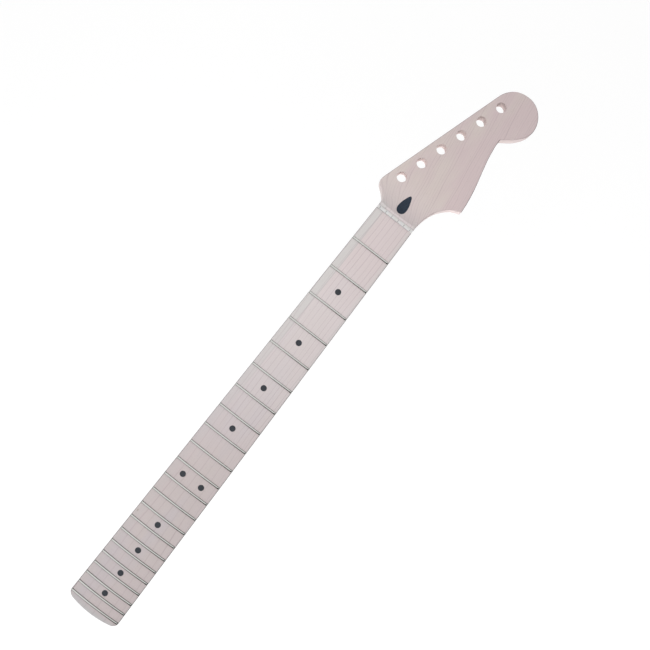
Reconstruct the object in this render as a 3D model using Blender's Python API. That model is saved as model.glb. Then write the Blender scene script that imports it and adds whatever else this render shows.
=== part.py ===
"""Bolt-on electric guitar neck: one maple blank with its frets, string nut, position markers and truss rod.

Metres, +Z up. The origin is the middle of the four-screw pattern on the flat back of the heel, +X runs
towards the headstock and +Y towards the tuner side. Values called "along" are measured from the string
nut's front face, positive towards the headstock, and the empty "nut_line" carries them into place.
"""

import math

import bmesh
import bpy
import numpy as np
from mathutils import Matrix, Vector

MM = 0.001
OCTAVE = 12

# Scale and board
SCALE_LENGTH = 648.0 * MM
FRET_COUNT = 22
WIDTH_AT_NUT = 41.8 * MM
WIDTH_AT_LAST_FRET = 56.0 * MM
BOARD_RADIUS = 241.0 * MM
END_PAST_LAST_FRET = 7.9 * MM
END_BOW = 1.9 * MM
END_CORNER = 6.2 * MM

# Blank, heel and back
BLANK_THICK = 25.4 * MM
HEAD_THICK = 14.0 * MM
EDGE_ROUND = 1.2 * MM
OVERHANG = 12.0 * MM
OVERHANG_THICK = 6.5 * MM
THICK_AT_FIRST_FRET = 21.0 * MM
THICK_AT_TWELFTH_FRET = 23.0 * MM
SIDE_HEIGHT = 4.5 * MM
BACK_FULLNESS = 2.25
HEEL_LENGTH = 76.0 * MM
HEEL_BLEND = 38.0 * MM
HEAD_BLEND_START = -14.0 * MM
HEAD_BLEND_END = 24.0 * MM

# Headstock
SHELF = 2.6 * MM
RAMP_RADIUS = 40.0 * MM
TUNER_HOLE = 10.0 * MM
TUNER_FIRST = (39.5 * MM, -1.1 * MM)
TUNER_PITCH = 23.43 * MM
TUNER_LINE_TURN = -17.44
TUNER_COUNT = 6
HEAD_TIP = (175.6 * MM, -30.7 * MM)

# Outline of the headstock: places along and out from the nut's end on each side, and headings there
BASS_POINTS = (
    (14.4 * MM, 3.5 * MM),
    (20.7 * MM, 11.2 * MM),
    (25.3 * MM, 13.7 * MM),
    (33.1 * MM, 12.0 * MM),
    (159.0 * MM, -27.6 * MM),
    (170.4 * MM, -35.3 * MM),
)
BASS_TURNS = (0.0, 44.0, 50.0, 0.0, TUNER_LINE_TURN, TUNER_LINE_TURN, -49.0)
TREBLE_POINTS = (
    (27.4 * MM, 3.8 * MM),
    (43.9 * MM, 16.1 * MM),
    (47.4 * MM, 20.6 * MM),
    (48.7 * MM, 24.6 * MM),
    (50.4 * MM, 25.6 * MM),
    (80.0 * MM, 20.9 * MM),
    (117.6 * MM, 12.9 * MM),
    (124.6 * MM, 12.7 * MM),
    (127.3 * MM, 14.1 * MM),
    (135.9 * MM, 25.3 * MM),
    (151.8 * MM, 33.3 * MM),
    (168.8 * MM, 26.0 * MM),
)
TREBLE_TURNS = (2.0, 22.0, 54.0, 66.0, 62.0, -2.0, -14.0, -5.0, 0.0, 55.0, 43.0, 0.0, -45.0)

# Neck screws
SCREW_SPACING_ALONG = 51.0 * MM
SCREW_SPACING_ACROSS = 38.0 * MM
SCREW_EDGE = 12.7 * MM
PILOT_HOLE = 3.2 * MM
PILOT_DEPTH = 16.0 * MM

# String nut
NUT_THICK = 3.3 * MM
NUT_RISE = 1.9 * MM
NUT_CREST = 1.1 * MM
NUT_CREST_FALL = 0.23 * MM
NUT_FALL = 0.7 * MM
NUT_SEAT_DEPTH = 3.2 * MM
NUT_STRING_SPREAD = 35.7 * MM
NUT_GROOVE = 1.2 * MM
NUT_GROOVE_DEPTH = 0.9 * MM
STRING_COUNT = 6

# Frets
CROWN_WIDTH = 2.6 * MM
CROWN_HEIGHT = 1.15 * MM
TANG_THICK = 0.5 * MM
TANG_DEPTH = 1.9 * MM
FRET_END_BEVEL = 1.0 * MM
FRET_END_HEIGHT = 0.3 * MM
FRET_INSET = 0.2 * MM

# Position markers
DOT = 6.0 * MM
DOT_DEPTH = 1.8 * MM
DOT_PAIR_SPREAD = 21.9 * MM
SIDE_DOT = 2.0 * MM
SIDE_DOT_DEPTH = 3.0 * MM
SIDE_DOT_DROP = 2.6 * MM
SIDE_PAIR_SPREAD = 7.0 * MM
DOTTED_STEPS = (3, 5, 7, 9)

# Truss rod
ROD = 5.0 * MM
ROD_LINE = 0.8 * MM
ROD_LOW_DEPTH = 15.9 * MM
ROD_LOW_SHARE = 0.465
ROD_HEEL_DEPTH = 12.9 * MM
ROD_SHORT_OF_ANCHOR = 1.0 * MM
CHANNEL_WIDTH = 6.4 * MM
CHANNEL_FROM_HEEL = 57.0 * MM
CHANNEL_HEAD = -18.0 * MM
PLUG_BORE = 10.0 * MM
PLUG_MOUTH = 8.2 * MM
PLUG_TILT = 2.2
PLUG_LENGTH = 34.0 * MM
ANCHOR_SEAT = -12.0 * MM
ANCHOR_LENGTH = 8.0 * MM
ROD_NUT = 9.0 * MM
ROD_NUT_LENGTH = 12.0 * MM
ROD_NUT_POCKET = 10.0 * MM
ROD_NUT_SET_BACK = 2.5 * MM
ROD_NUT_SLOT = 1.3 * MM
ROD_NUT_SLOT_DEPTH = 2.5 * MM
ROD_THREAD_GRIP = 8.5 * MM
WASHER_THICK = 1.2 * MM

# Clearances
INLAY_GAP = 0.05 * MM
SEAT_GAP = 0.1 * MM
RUNNING_GAP = 0.05 * MM
ROD_GAP = 0.3 * MM
CUT_PAST = 2.0 * MM

# Fineness of the solids
TURN_STEP = 15.0
EDGE_STEPS = 2
EDGE_SHARE = 0.45
TOP_STEPS = 7
HEEL_STEPS = 8
SHAFT_STEPS = 5
NUT_STEPS = 6
RAMP_STEPS = 10
LEAST_STATION = 0.25 * MM
CAP_STEP = 0.02 * MM
CROWN_STEPS = 4
FRET_STEPS = 6
SLOT_STEPS = 8
ROD_STEPS = 14
ROD_ROUNDING_STEPS = 2
BORE_SIDES = 24
ROUND_SIDES = 20
SMALL_SIDES = 12
GROOVE_SIDES = 10

NAME = "guitar_neck"


def fret_place(number):
    """Distance from the string nut to a fret, by equal temperament."""
    return SCALE_LENGTH * (1 - 2 ** (-number / OCTAVE))


END = fret_place(FRET_COUNT) + END_PAST_LAST_FRET
HEEL_END = OVERHANG - END
NUT_X = -HEEL_END - SCREW_EDGE - SCREW_SPACING_ALONG / 2
CHANNEL_HEEL = HEEL_END + CHANNEL_FROM_HEEL
ROD_LOW_ALONG = HEEL_END * ROD_LOW_SHARE
TAPER = (WIDTH_AT_LAST_FRET - WIDTH_AT_NUT) / fret_place(FRET_COUNT) / 2
TAPER_TURN = math.degrees(math.atan(TAPER))
RAMP_START = NUT_THICK + SHELF
RAMP_DROP = BLANK_THICK - HEAD_THICK
RAMP_FOOT = RAMP_START + math.sqrt(RAMP_RADIUS**2 - (RAMP_RADIUS - RAMP_DROP) ** 2)


def half_width(along):
    """Half the board's width, which tapers evenly from the heel to the nut."""
    return WIDTH_AT_NUT / 2 - TAPER * along


def crown_sag(y):
    """How far the radiused board lies below its middle at y."""
    return BOARD_RADIUS - np.sqrt(BOARD_RADIUS**2 - np.square(y))


def board_height(y):
    return BLANK_THICK - crown_sag(y)


def ramp_height(along):
    """The hollow ramp behind the nut, and past its foot the flat face of the headstock."""
    reach = np.clip(RAMP_FOOT - along, 0, RAMP_RADIUS)
    return HEAD_THICK + RAMP_RADIUS - np.sqrt(RAMP_RADIUS**2 - np.square(reach))


def top_height(along, y):
    return np.where(along > RAMP_START, np.minimum(board_height(y), ramp_height(along)), board_height(y))


def curve_through(knots):
    """Points of a smooth curve through knots of (along, y, heading in degrees)."""
    points = [np.array(knots[0][:2])]
    for (x0, y0, turn0), (x1, y1, turn1) in zip(knots, knots[1:]):
        turn = abs(turn1 - turn0)
        reach = math.hypot(x1 - x0, y1 - y0) / (3 * math.cos(math.radians(turn / 4)) ** 2)
        start = np.array((x0, y0))
        end = np.array((x1, y1))
        lead = start + reach * np.array((math.cos(math.radians(turn0)), math.sin(math.radians(turn0))))
        trail = end - reach * np.array((math.cos(math.radians(turn1)), math.sin(math.radians(turn1))))
        steps = max(1, math.ceil(turn / TURN_STEP))
        for step in range(1, steps + 1):
            t = step / steps
            u = 1 - t
            points.append(u**3 * start + 3 * t * u * u * lead + 3 * t * t * u * trail + t**3 * end)
    return np.array(points)


def end_knots(end, spare=0.0):
    """The bowed end of the board and its round corner, on the tuner side."""
    corner_along = end + END_BOW + END_CORNER
    half = half_width(corner_along) + spare
    bow_turn = 90 - math.degrees(2 * math.atan(END_BOW / (half - END_CORNER)))
    return [
        (end, 0.0, 90.0),
        (end + END_BOW, half - END_CORNER, bow_turn),
        (corner_along, half, -TAPER_TURN),
    ]


def side_outline(points, turns, hand):
    """One side of the outline, from the board's end to the headstock's tip; hand is 1 on the tuner side."""
    start = NUT_THICK + SHELF / 2
    edge = half_width(0)
    knots = end_knots(-END)
    knots.append((start, half_width(start), turns[0] - TAPER_TURN))
    for (along, out), turn in zip(points, turns[1:]):
        knots.append((along, edge + out, turn))
    knots.append((HEAD_TIP[0], hand * HEAD_TIP[1], -90.0))
    return curve_through([(along, hand * y, hand * turn) for along, y, turn in knots])


def edge_distance(outline, points):
    """Distance from each point to the outline."""
    nearest = np.full(len(points), np.inf)
    for start, end in zip(outline, outline[1:]):
        run = end - start
        share = np.clip((points - start) @ run / max(run @ run, 1e-18), 0, 1)
        gap = points - start - share[:, None] * run
        nearest = np.minimum(nearest, np.hypot(gap[:, 0], gap[:, 1]))
    return nearest


def rounding_drop(distance, radius):
    """How far a rounded edge lies below its face at a distance from the outline."""
    inside = np.clip(radius - distance, 0, radius)
    return radius - np.sqrt(radius**2 - inside**2)


def smooth_step(value):
    value = min(max(value, 0.0), 1.0)
    return value * value * (3 - 2 * value)


def flatness(along):
    """0 where the back is carved to its round profile, 1 where heel and headstock are flat."""
    heel_start = HEEL_END + HEEL_LENGTH
    heel = smooth_step((heel_start + HEEL_BLEND - along) / HEEL_BLEND)
    head = smooth_step((along - HEAD_BLEND_START) / (HEAD_BLEND_END - HEAD_BLEND_START))
    return max(heel, head)


def neck_thickness(along):
    first = fret_place(1)
    slope = (THICK_AT_TWELFTH_FRET - THICK_AT_FIRST_FRET) / (fret_place(OCTAVE) - first)
    return THICK_AT_FIRST_FRET + slope * (-along - first)


def across(side_a, side_b, slope_a, slope_b, steps):
    """Places across the neck, close together in the rounded edges and even between them."""
    width = side_a - side_b
    offsets = EDGE_ROUND * (1 - np.cos(np.linspace(0, math.pi / 2, EDGE_STEPS + 1)))
    most = EDGE_SHARE * width * np.linspace(0, 1, EDGE_STEPS + 1)
    from_a = np.minimum(offsets * math.hypot(1, slope_a), most)
    from_b = np.minimum(offsets * math.hypot(1, slope_b), most)
    middle = np.linspace(side_a - from_a[-1], side_b + from_b[-1], steps + 1)[1:-1]
    return np.concatenate([side_a - from_a, middle, (side_b + from_b)[::-1]])


def neck_sections(bass, treble):
    """Closed sections across the blank, from the board's end to the headstock's tip."""
    outline = np.vstack([bass, treble[::-1]])
    sections = []
    for along in stations(bass, treble):
        a, slope_a = side_at(bass, along)
        b, slope_b = side_at(treble, along)
        places = across(a, b, slope_a, slope_b, TOP_STEPS)
        flat = np.column_stack([np.full(len(places), along), places])
        drop = rounding_drop(edge_distance(outline, flat), EDGE_ROUND)
        top = top_height(along, places) - drop
        back = back_path(along, a, b, places, drop)
        ring = [(along, y, z) for y, z in zip(places, top)]
        ring += [(along, y, z) for y, z in back[::-1]]
        sections.append(ring)
    return sections


def side_at(side, along):
    """Where a side of the outline lies at a station, and its slope there."""
    reach = 0.1 * MM
    y = np.interp(along, side[:, 0], side[:, 1])
    before = np.interp(along - reach, side[:, 0], side[:, 1])
    after = np.interp(along + reach, side[:, 0], side[:, 1])
    return y, (after - before) / (2 * reach)


def back_path(along, a, b, places, drop):
    """The back of one section, tuner side first: a carved round, a flat, or between the two."""
    share = flatness(along)
    flat = np.column_stack([places, drop])
    angle = np.linspace(0, math.pi, len(places))
    power = 2 / BACK_FULLNESS
    reach = np.abs(np.cos(angle)) ** power
    side_height = board_height(min(a, -b)) - SIDE_HEIGHT
    low = BLANK_THICK - neck_thickness(along)
    round_y = np.where(angle <= math.pi / 2, a * reach, b * reach)
    round_z = side_height - (side_height - low) * np.sin(angle) ** power
    carved = np.column_stack([round_y, round_z])
    return share * flat + (1 - share) * carved


def stations(bass, treble):
    """Places along the neck where its section is drawn."""
    heel_start = HEEL_END + HEEL_LENGTH
    places = list(bass[1:-1, 0]) + list(treble[1:-1, 0])
    places += list(np.linspace(heel_start, heel_start + HEEL_BLEND, HEEL_STEPS + 1))
    places += list(np.linspace(heel_start + HEEL_BLEND, HEAD_BLEND_START, SHAFT_STEPS + 1))
    places += list(np.linspace(HEAD_BLEND_START, RAMP_START, NUT_STEPS + 1))
    places += list(np.linspace(RAMP_START, RAMP_FOOT, RAMP_STEPS + 1))
    kept = [-END + CAP_STEP]
    for place in sorted(places):
        if place - kept[-1] > LEAST_STATION and HEAD_TIP[0] - place > LEAST_STATION:
            kept.append(place)
    return kept + [HEAD_TIP[0] - CAP_STEP]


def new_collection(name):
    collection = bpy.data.collections.new(name)
    bpy.context.scene.collection.children.link(collection)
    return collection


def material(name, colour, roughness, metallic=0.0):
    made = bpy.data.materials.new(name)
    made.use_nodes = True
    shader = made.node_tree.nodes["Principled BSDF"]
    shader.inputs["Base Color"].default_value = (*colour, 1.0)
    shader.inputs["Roughness"].default_value = roughness
    shader.inputs["Metallic"].default_value = metallic
    return made


def add_mesh(bm, name, collection):
    """An object of the mesh, carried by the nut line."""
    bmesh.ops.recalc_face_normals(bm, faces=bm.faces)
    mesh = bpy.data.meshes.new(name)
    bm.to_mesh(mesh)
    bm.free()
    obj = bpy.data.objects.new(name, mesh)
    collection.objects.link(obj)
    obj.parent = nut_line
    return obj


def loft_into(bm, sections):
    """A closed body through sections that have the same number of corners."""
    rings = [[bm.verts.new(corner) for corner in ring] for ring in sections]
    for ring, following in zip(rings, rings[1:]):
        for i in range(len(ring)):
            j = (i + 1) % len(ring)
            bm.faces.new((ring[i], ring[j], following[j], following[i]))
    bm.faces.new(rings[0][::-1])
    bm.faces.new(rings[-1])


def cylinder_into(bm, start, end, radius, sides=ROUND_SIDES):
    """A capped cylinder between two points."""
    axis = Vector(end) - Vector(start)
    turn = Vector((0, 0, 1)).rotation_difference(axis).to_matrix().to_4x4()
    place = Matrix.Translation((Vector(start) + Vector(end)) / 2) @ turn
    bmesh.ops.create_cone(
        bm, cap_ends=True, segments=sides, radius1=radius, radius2=radius, depth=axis.length, matrix=place
    )


def flat_outline(name, points, bottom, top, upright=False):
    """A closed outline given a thickness; an upright one is drawn along and up, and is thick across."""
    curve = bpy.data.curves.new(name, "CURVE")
    curve.dimensions = "2D"
    curve.fill_mode = "BOTH"
    curve.extrude = (top - bottom) / 2
    spline = curve.splines.new("POLY")
    spline.points.add(len(points) - 1)
    for point, (x, y) in zip(spline.points, points):
        point.co = (x, y, 0, 1)
    spline.use_cyclic_u = True
    drawn = bpy.data.objects.new(name, curve)
    cutters.objects.link(drawn)
    middle = (top + bottom) / 2
    if upright:
        drawn.rotation_euler = (math.pi / 2, 0, 0)
        drawn.location = (NUT_X, middle, 0)
    else:
        drawn.location = (NUT_X, 0, middle)
    bpy.context.view_layer.update()
    evaluated = drawn.evaluated_get(bpy.context.evaluated_depsgraph_get())
    mesh = bpy.data.meshes.new_from_object(evaluated)
    bm = bmesh.new()
    bm.from_mesh(mesh)
    bmesh.ops.remove_doubles(bm, verts=bm.verts, dist=1e-6)
    bmesh.ops.recalc_face_normals(bm, faces=bm.faces)
    bm.to_mesh(mesh)
    bm.free()
    place = drawn.matrix_world.copy()
    bpy.data.objects.remove(drawn)
    solid = bpy.data.objects.new(name, mesh)
    solid.matrix_world = place
    cutters.objects.link(solid)
    return as_cutter(solid)


def as_cutter(obj):
    obj.hide_render = True
    obj.display_type = "WIRE"
    return obj


def cut(obj, cutter, operation="DIFFERENCE"):
    modifier = obj.modifiers.new(cutter.name, "BOOLEAN")
    modifier.operation = operation
    modifier.object = cutter
    modifier.solver = "EXACT"


def cut_all(obj, group):
    """Takes every cutter of a collection away in one step."""
    modifier = obj.modifiers.new(group.name, "BOOLEAN")
    modifier.operation = "DIFFERENCE"
    modifier.operand_type = "COLLECTION"
    modifier.collection = group
    modifier.solver = "EXACT"


def finish(obj, made, smooth=30.0):
    """Gives a piece its material and smooth shading between its sharp edges."""
    obj.data.materials.append(made)
    obj.data.shade_smooth()
    obj.data.set_sharp_from_angle(angle=math.radians(smooth))
    return obj


def fret_steps(half):
    """Places across the board for a fret: its bevelled ends, and even steps between."""
    middle = np.linspace(-half + FRET_END_BEVEL, half - FRET_END_BEVEL, FRET_STEPS + 1)
    return [-half, *middle, half]


def fret_section(number, y, half):
    """Crown and tang of a fret at one place across the board."""
    along = -fret_place(number)
    height = CROWN_HEIGHT if abs(y) < half else FRET_END_HEIGHT
    seat = board_height(y) + INLAY_GAP
    ring = []
    for step in range(CROWN_STEPS + 1):
        angle = math.pi * step / CROWN_STEPS
        x = along + CROWN_WIDTH / 2 * math.cos(angle)
        ring.append((x, y, seat + height * math.sin(angle)))
    tang = TANG_THICK / 2
    floor = board_height(y) - TANG_DEPTH
    ring += [(along - tang, y, seat), (along - tang, y, floor)]
    ring += [(along + tang, y, floor), (along + tang, y, seat)]
    return ring


def make_fret(number):
    half = half_width(-fret_place(number)) - FRET_INSET
    bm = bmesh.new()
    loft_into(bm, [fret_section(number, y, half) for y in fret_steps(half)])
    finish(add_mesh(bm, f"fret_{number:02d}", parts), fret_metal)


def make_fret_slots():
    """Saw kerfs across the board, each following its radius."""
    bm = bmesh.new()
    for number in range(1, FRET_COUNT + 1):
        along = -fret_place(number)
        half = half_width(along) + CUT_PAST
        kerf = TANG_THICK / 2 + INLAY_GAP
        sections = []
        for y in np.linspace(-half, half, FRET_STEPS + 1):
            floor = board_height(y) - TANG_DEPTH - SEAT_GAP
            roof = BLANK_THICK + CUT_PAST
            sections.append([
                (along + kerf, y, roof),
                (along - kerf, y, roof),
                (along - kerf, y, floor),
                (along + kerf, y, floor),
            ])
        loft_into(bm, sections)
    return as_cutter(add_mesh(bm, "fret_slots", cutters))


def nut_floor():
    """Height of the flat floor of the string nut's slot."""
    return board_height(half_width(0)) - NUT_SEAT_DEPTH


def make_nut_slot():
    bm = bmesh.new()
    half = half_width(0) + CUT_PAST
    low = nut_floor()
    high = BLANK_THICK + CUT_PAST
    sections = []
    for y in (-half, half):
        sections.append([
            (NUT_THICK + INLAY_GAP, y, high),
            (-INLAY_GAP, y, high),
            (-INLAY_GAP, y, low),
            (NUT_THICK + INLAY_GAP, y, low),
        ])
    loft_into(bm, sections)
    return as_cutter(add_mesh(bm, "nut_slot", cutters))


def make_string_nut():
    """The bone nut: flat below, crowned to the board's radius above, with a groove for each string."""
    bm = bmesh.new()
    half = half_width(NUT_THICK) - INLAY_GAP
    low = nut_floor() + INLAY_GAP
    sections = []
    for y in np.linspace(-half, half, TOP_STEPS + 1):
        crest = board_height(y) + NUT_RISE
        sections.append([
            (NUT_THICK, y, crest - NUT_FALL),
            (NUT_CREST, y, crest),
            (0.0, y, crest - NUT_CREST_FALL),
            (0.0, y, low),
            (NUT_THICK, y, low),
        ])
    loft_into(bm, sections)
    nut = finish(add_mesh(bm, "string_nut", parts), bone)
    grooves = bmesh.new()
    for y in np.linspace(-NUT_STRING_SPREAD / 2, NUT_STRING_SPREAD / 2, STRING_COUNT):
        middle = board_height(y) + NUT_RISE - NUT_GROOVE_DEPTH + NUT_GROOVE / 2
        front = (-CUT_PAST, y, middle)
        back = (NUT_THICK + CUT_PAST, y, middle - NUT_FALL)
        cylinder_into(grooves, front, back, NUT_GROOVE / 2, GROOVE_SIDES)
    cut(nut, as_cutter(add_mesh(grooves, "string_grooves", cutters)))


def dotted_frets():
    """Number and middle of each space that is marked: one dot at some steps, two at each octave."""
    singles = []
    pairs = []
    for number in range(1, FRET_COUNT + 1):
        middle = -(fret_place(number) + fret_place(number - 1)) / 2
        if number % OCTAVE in DOTTED_STEPS:
            singles.append((number, middle))
        if number % OCTAVE == 0:
            pairs.append((number, middle))
    return singles, pairs


def dot_places():
    """Name, place along and place across of each marker in the board's face."""
    singles, pairs = dotted_frets()
    places = [(f"dot_{number:02d}", middle, 0.0) for number, middle in singles]
    for number, middle in pairs:
        places.append((f"dot_{number:02d}_bass", middle, DOT_PAIR_SPREAD / 2))
        places.append((f"dot_{number:02d}_treble", middle, -DOT_PAIR_SPREAD / 2))
    return places


def into_board(along, y, depth):
    """A point at a depth below the board's face, square to it."""
    lean = math.asin(y / BOARD_RADIUS)
    reach = BOARD_RADIUS - depth
    return (along, reach * math.sin(lean), BLANK_THICK - BOARD_RADIUS + reach * math.cos(lean))


def make_dots():
    """Face markers, each a disc let into its own pocket."""
    pockets = bmesh.new()
    for name, along, y in dot_places():
        bm = bmesh.new()
        cylinder_into(bm, into_board(along, y, DOT_DEPTH), into_board(along, y, INLAY_GAP / 2), DOT / 2)
        finish(add_mesh(bm, name, parts), dot_black)
        floor = into_board(along, y, DOT_DEPTH + INLAY_GAP)
        cylinder_into(pockets, floor, into_board(along, y, -CUT_PAST), DOT / 2 + INLAY_GAP)
    return as_cutter(add_mesh(pockets, "dot_pockets", cutters))


def side_dot_places():
    """Name and place along of each marker in the board's side."""
    singles, pairs = dotted_frets()
    places = [(f"side_dot_{number:02d}", middle) for number, middle in singles]
    for number, middle in pairs:
        places.append((f"side_dot_{number:02d}_heel", middle - SIDE_PAIR_SPREAD / 2))
        places.append((f"side_dot_{number:02d}_head", middle + SIDE_PAIR_SPREAD / 2))
    return places


def into_side(along, depth):
    """A point at a depth inside the board's tuner side, square to it."""
    half = half_width(along)
    turn = math.atan(TAPER)
    height = board_height(half) - SIDE_DOT_DROP
    return (along - depth * math.sin(turn), half - depth * math.cos(turn), height)


def make_side_dots():
    """Small rods let into the tuner side of the board, for the player's eye."""
    pockets = bmesh.new()
    for name, along in side_dot_places():
        bm = bmesh.new()
        face = into_side(along, INLAY_GAP / 2)
        cylinder_into(bm, into_side(along, SIDE_DOT_DEPTH), face, SIDE_DOT / 2, SMALL_SIDES)
        finish(add_mesh(bm, name, parts), dot_black)
        floor = into_side(along, SIDE_DOT_DEPTH + INLAY_GAP)
        outside = into_side(along, -CUT_PAST)
        cylinder_into(pockets, floor, outside, SIDE_DOT / 2 + INLAY_GAP, SMALL_SIDES)
    return as_cutter(add_mesh(pockets, "side_dot_pockets", cutters))


def make_tuner_holes():
    bm = bmesh.new()
    turn = math.radians(TUNER_LINE_TURN)
    for number in range(TUNER_COUNT):
        along = TUNER_FIRST[0] + number * TUNER_PITCH * math.cos(turn)
        y = half_width(0) + TUNER_FIRST[1] + number * TUNER_PITCH * math.sin(turn)
        above = (along, y, HEAD_THICK + CUT_PAST)
        cylinder_into(bm, (along, y, -CUT_PAST), above, TUNER_HOLE / 2, BORE_SIDES)
    return as_cutter(add_mesh(bm, "tuner_holes", cutters))


def make_pilot_holes():
    bm = bmesh.new()
    for side_x in (-1, 1):
        for side_y in (-1, 1):
            along = side_x * SCREW_SPACING_ALONG / 2 - NUT_X
            y = side_y * SCREW_SPACING_ACROSS / 2
            end = (along, y, PILOT_DEPTH)
            cylinder_into(bm, (along, y, -CUT_PAST), end, PILOT_HOLE / 2, SMALL_SIDES)
    return as_cutter(add_mesh(bm, "pilot_holes", cutters))


def make_overhang_cut():
    """Takes away the wood under the board where it reaches past the heel."""
    corner = curve_through(end_knots(HEEL_END, EDGE_ROUND / 2))
    wide = WIDTH_AT_LAST_FRET
    outline = [(-END - CUT_PAST, -wide), (corner[-1][0], -wide)]
    outline += [(along, -y) for along, y in corner[::-1]]
    outline += [(along, y) for along, y in corner[1:]]
    outline += [(corner[-1][0], wide), (-END - CUT_PAST, wide)]
    return flat_outline("overhang_cut", outline, -CUT_PAST, BLANK_THICK - OVERHANG_THICK)


def bore_axis(along):
    """Height of the plug bore's middle, which climbs a little towards the headstock."""
    at_mouth = float(ramp_height(PLUG_MOUTH)) - PLUG_BORE / 2
    return at_mouth + (along - PLUG_MOUTH) * math.tan(math.radians(PLUG_TILT))


def rod_height(along):
    """Height of the rod's middle: level at the heel, low in the middle, in line with the plug's bore."""
    head = bore_axis(CHANNEL_HEAD)
    heel = BLANK_THICK - ROD_HEEL_DEPTH
    low = BLANK_THICK - ROD_LOW_DEPTH
    if along >= CHANNEL_HEAD:
        return bore_axis(along)
    if along <= CHANNEL_HEEL:
        return heel
    if along < ROD_LOW_ALONG:
        return low + (heel - low) * smooth_step((ROD_LOW_ALONG - along) / (ROD_LOW_ALONG - CHANNEL_HEEL))
    run = CHANNEL_HEAD - ROD_LOW_ALONG
    t = (along - ROD_LOW_ALONG) / run
    slope = math.tan(math.radians(PLUG_TILT)) * run
    return low + (head - low) * t * t * (3 - 2 * t) + slope * t * t * (t - 1)


def plan_slot(name, width, heel, head, top):
    """A slot with round ends, seen from above, on the rod's line."""
    half = width / 2
    outline = []
    for middle, turn in ((head, -90), (heel, 90)):
        for step in range(SLOT_STEPS + 1):
            angle = math.radians(turn + 180 * step / SLOT_STEPS)
            outline.append((middle + half * math.cos(angle), ROD_LINE + half * math.sin(angle)))
    return flat_outline(name, outline, -CUT_PAST, top)


def under_rod(name, above):
    """Everything below a line that follows the rod, seen from the side."""
    reach = CHANNEL_WIDTH
    places = np.linspace(CHANNEL_HEEL - reach, CHANNEL_HEAD + reach, ROD_STEPS + 1)
    outline = [(along, rod_height(along) + above) for along in places]
    outline += [(places[-1], -2 * CUT_PAST), (places[0], -2 * CUT_PAST)]
    return flat_outline(name, outline, ROD_LINE - CHANNEL_WIDTH, ROD_LINE + CHANNEL_WIDTH, upright=True)


def make_channel():
    """The rout for the rod, open at the back of the neck."""
    channel = plan_slot("rod_channel", CHANNEL_WIDTH, CHANNEL_HEEL, CHANNEL_HEAD, BLANK_THICK)
    cut(channel, under_rod("rod_channel_floor", ROD / 2 + ROD_GAP), "INTERSECT")
    return channel


def make_stripe(blank):
    """The wood strip that closes the channel, shaped flush with the back."""
    width = CHANNEL_WIDTH - 2 * INLAY_GAP
    stripe = plan_slot("back_stripe", width, CHANNEL_HEEL, CHANNEL_HEAD, BLANK_THICK)
    cut(stripe, under_rod("stripe_top", -ROD / 2 - ROD_GAP), "INTERSECT")
    cut(stripe, blank, "INTERSECT")
    cutters.objects.unlink(stripe)
    parts.objects.link(stripe)
    stripe.hide_render = False
    stripe.display_type = "TEXTURED"
    finish(stripe, dark_wood)


def on_bore(along):
    return (along, ROD_LINE, bore_axis(along))


def on_heel_axis(along):
    return (along, ROD_LINE, BLANK_THICK - ROD_HEEL_DEPTH)


def bore_cutter(name, start, end, radius):
    bm = bmesh.new()
    cylinder_into(bm, start, end, radius, BORE_SIDES)
    return as_cutter(add_mesh(bm, name, cutters))


def make_bores():
    """The plug's bore, the drilled ways for the rod, and the pocket for its nut."""
    way = ROD / 2 + ROD_GAP
    seat = rod_nut_seat()
    plug_end = on_bore(ANCHOR_SEAT + PLUG_LENGTH + ANCHOR_LENGTH)
    channel_head = on_bore(CHANNEL_HEAD - CHANNEL_WIDTH / 2)
    channel_heel = on_heel_axis(CHANNEL_HEEL + CUT_PAST)
    outside = on_heel_axis(-END - CUT_PAST)
    return [
        bore_cutter("plug_bore", on_bore(ANCHOR_SEAT), plug_end, PLUG_BORE / 2),
        bore_cutter("rod_way_head", channel_head, on_bore(ANCHOR_SEAT + CUT_PAST), way),
        bore_cutter("rod_way_heel", on_heel_axis(seat - CUT_PAST), channel_heel, way),
        bore_cutter("rod_nut_pocket", outside, on_heel_axis(seat), ROD_NUT_POCKET / 2),
    ]


def rod_nut_seat():
    """Place along of the pocket's floor, where the washer bears."""
    return HEEL_END + ROD_NUT_SET_BACK + ROD_NUT_LENGTH + WASHER_THICK + 2 * SEAT_GAP


def make_plug(blank, nut_slot):
    """The dark wood plug, cut off flush with the ramp, which gives it its teardrop face."""
    bm = bmesh.new()
    start = ANCHOR_SEAT + ANCHOR_LENGTH + 2 * SEAT_GAP
    cylinder_into(bm, on_bore(start), on_bore(start + PLUG_LENGTH), PLUG_BORE / 2 - INLAY_GAP, BORE_SIDES)
    plug = finish(add_mesh(bm, "headstock_plug", parts), dark_wood)
    cut(plug, blank, "INTERSECT")
    cut(plug, nut_slot)


def make_anchor():
    """The threaded steel block that holds the rod's head end."""
    bm = bmesh.new()
    start = ANCHOR_SEAT + SEAT_GAP
    cylinder_into(bm, on_bore(start), on_bore(start + ANCHOR_LENGTH), PLUG_BORE / 2 - 2 * SEAT_GAP)
    anchor = finish(add_mesh(bm, "rod_anchor", parts), rod_steel)
    thread_end = on_bore(rod_head_end() + SEAT_GAP)
    cut(anchor, bore_cutter("anchor_thread", on_bore(start - CUT_PAST), thread_end, ROD / 2 + INLAY_GAP))


def rod_head_end():
    """Place along of the rod's end inside the anchor."""
    return ANCHOR_SEAT + ANCHOR_LENGTH - ROD_SHORT_OF_ANCHOR


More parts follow.
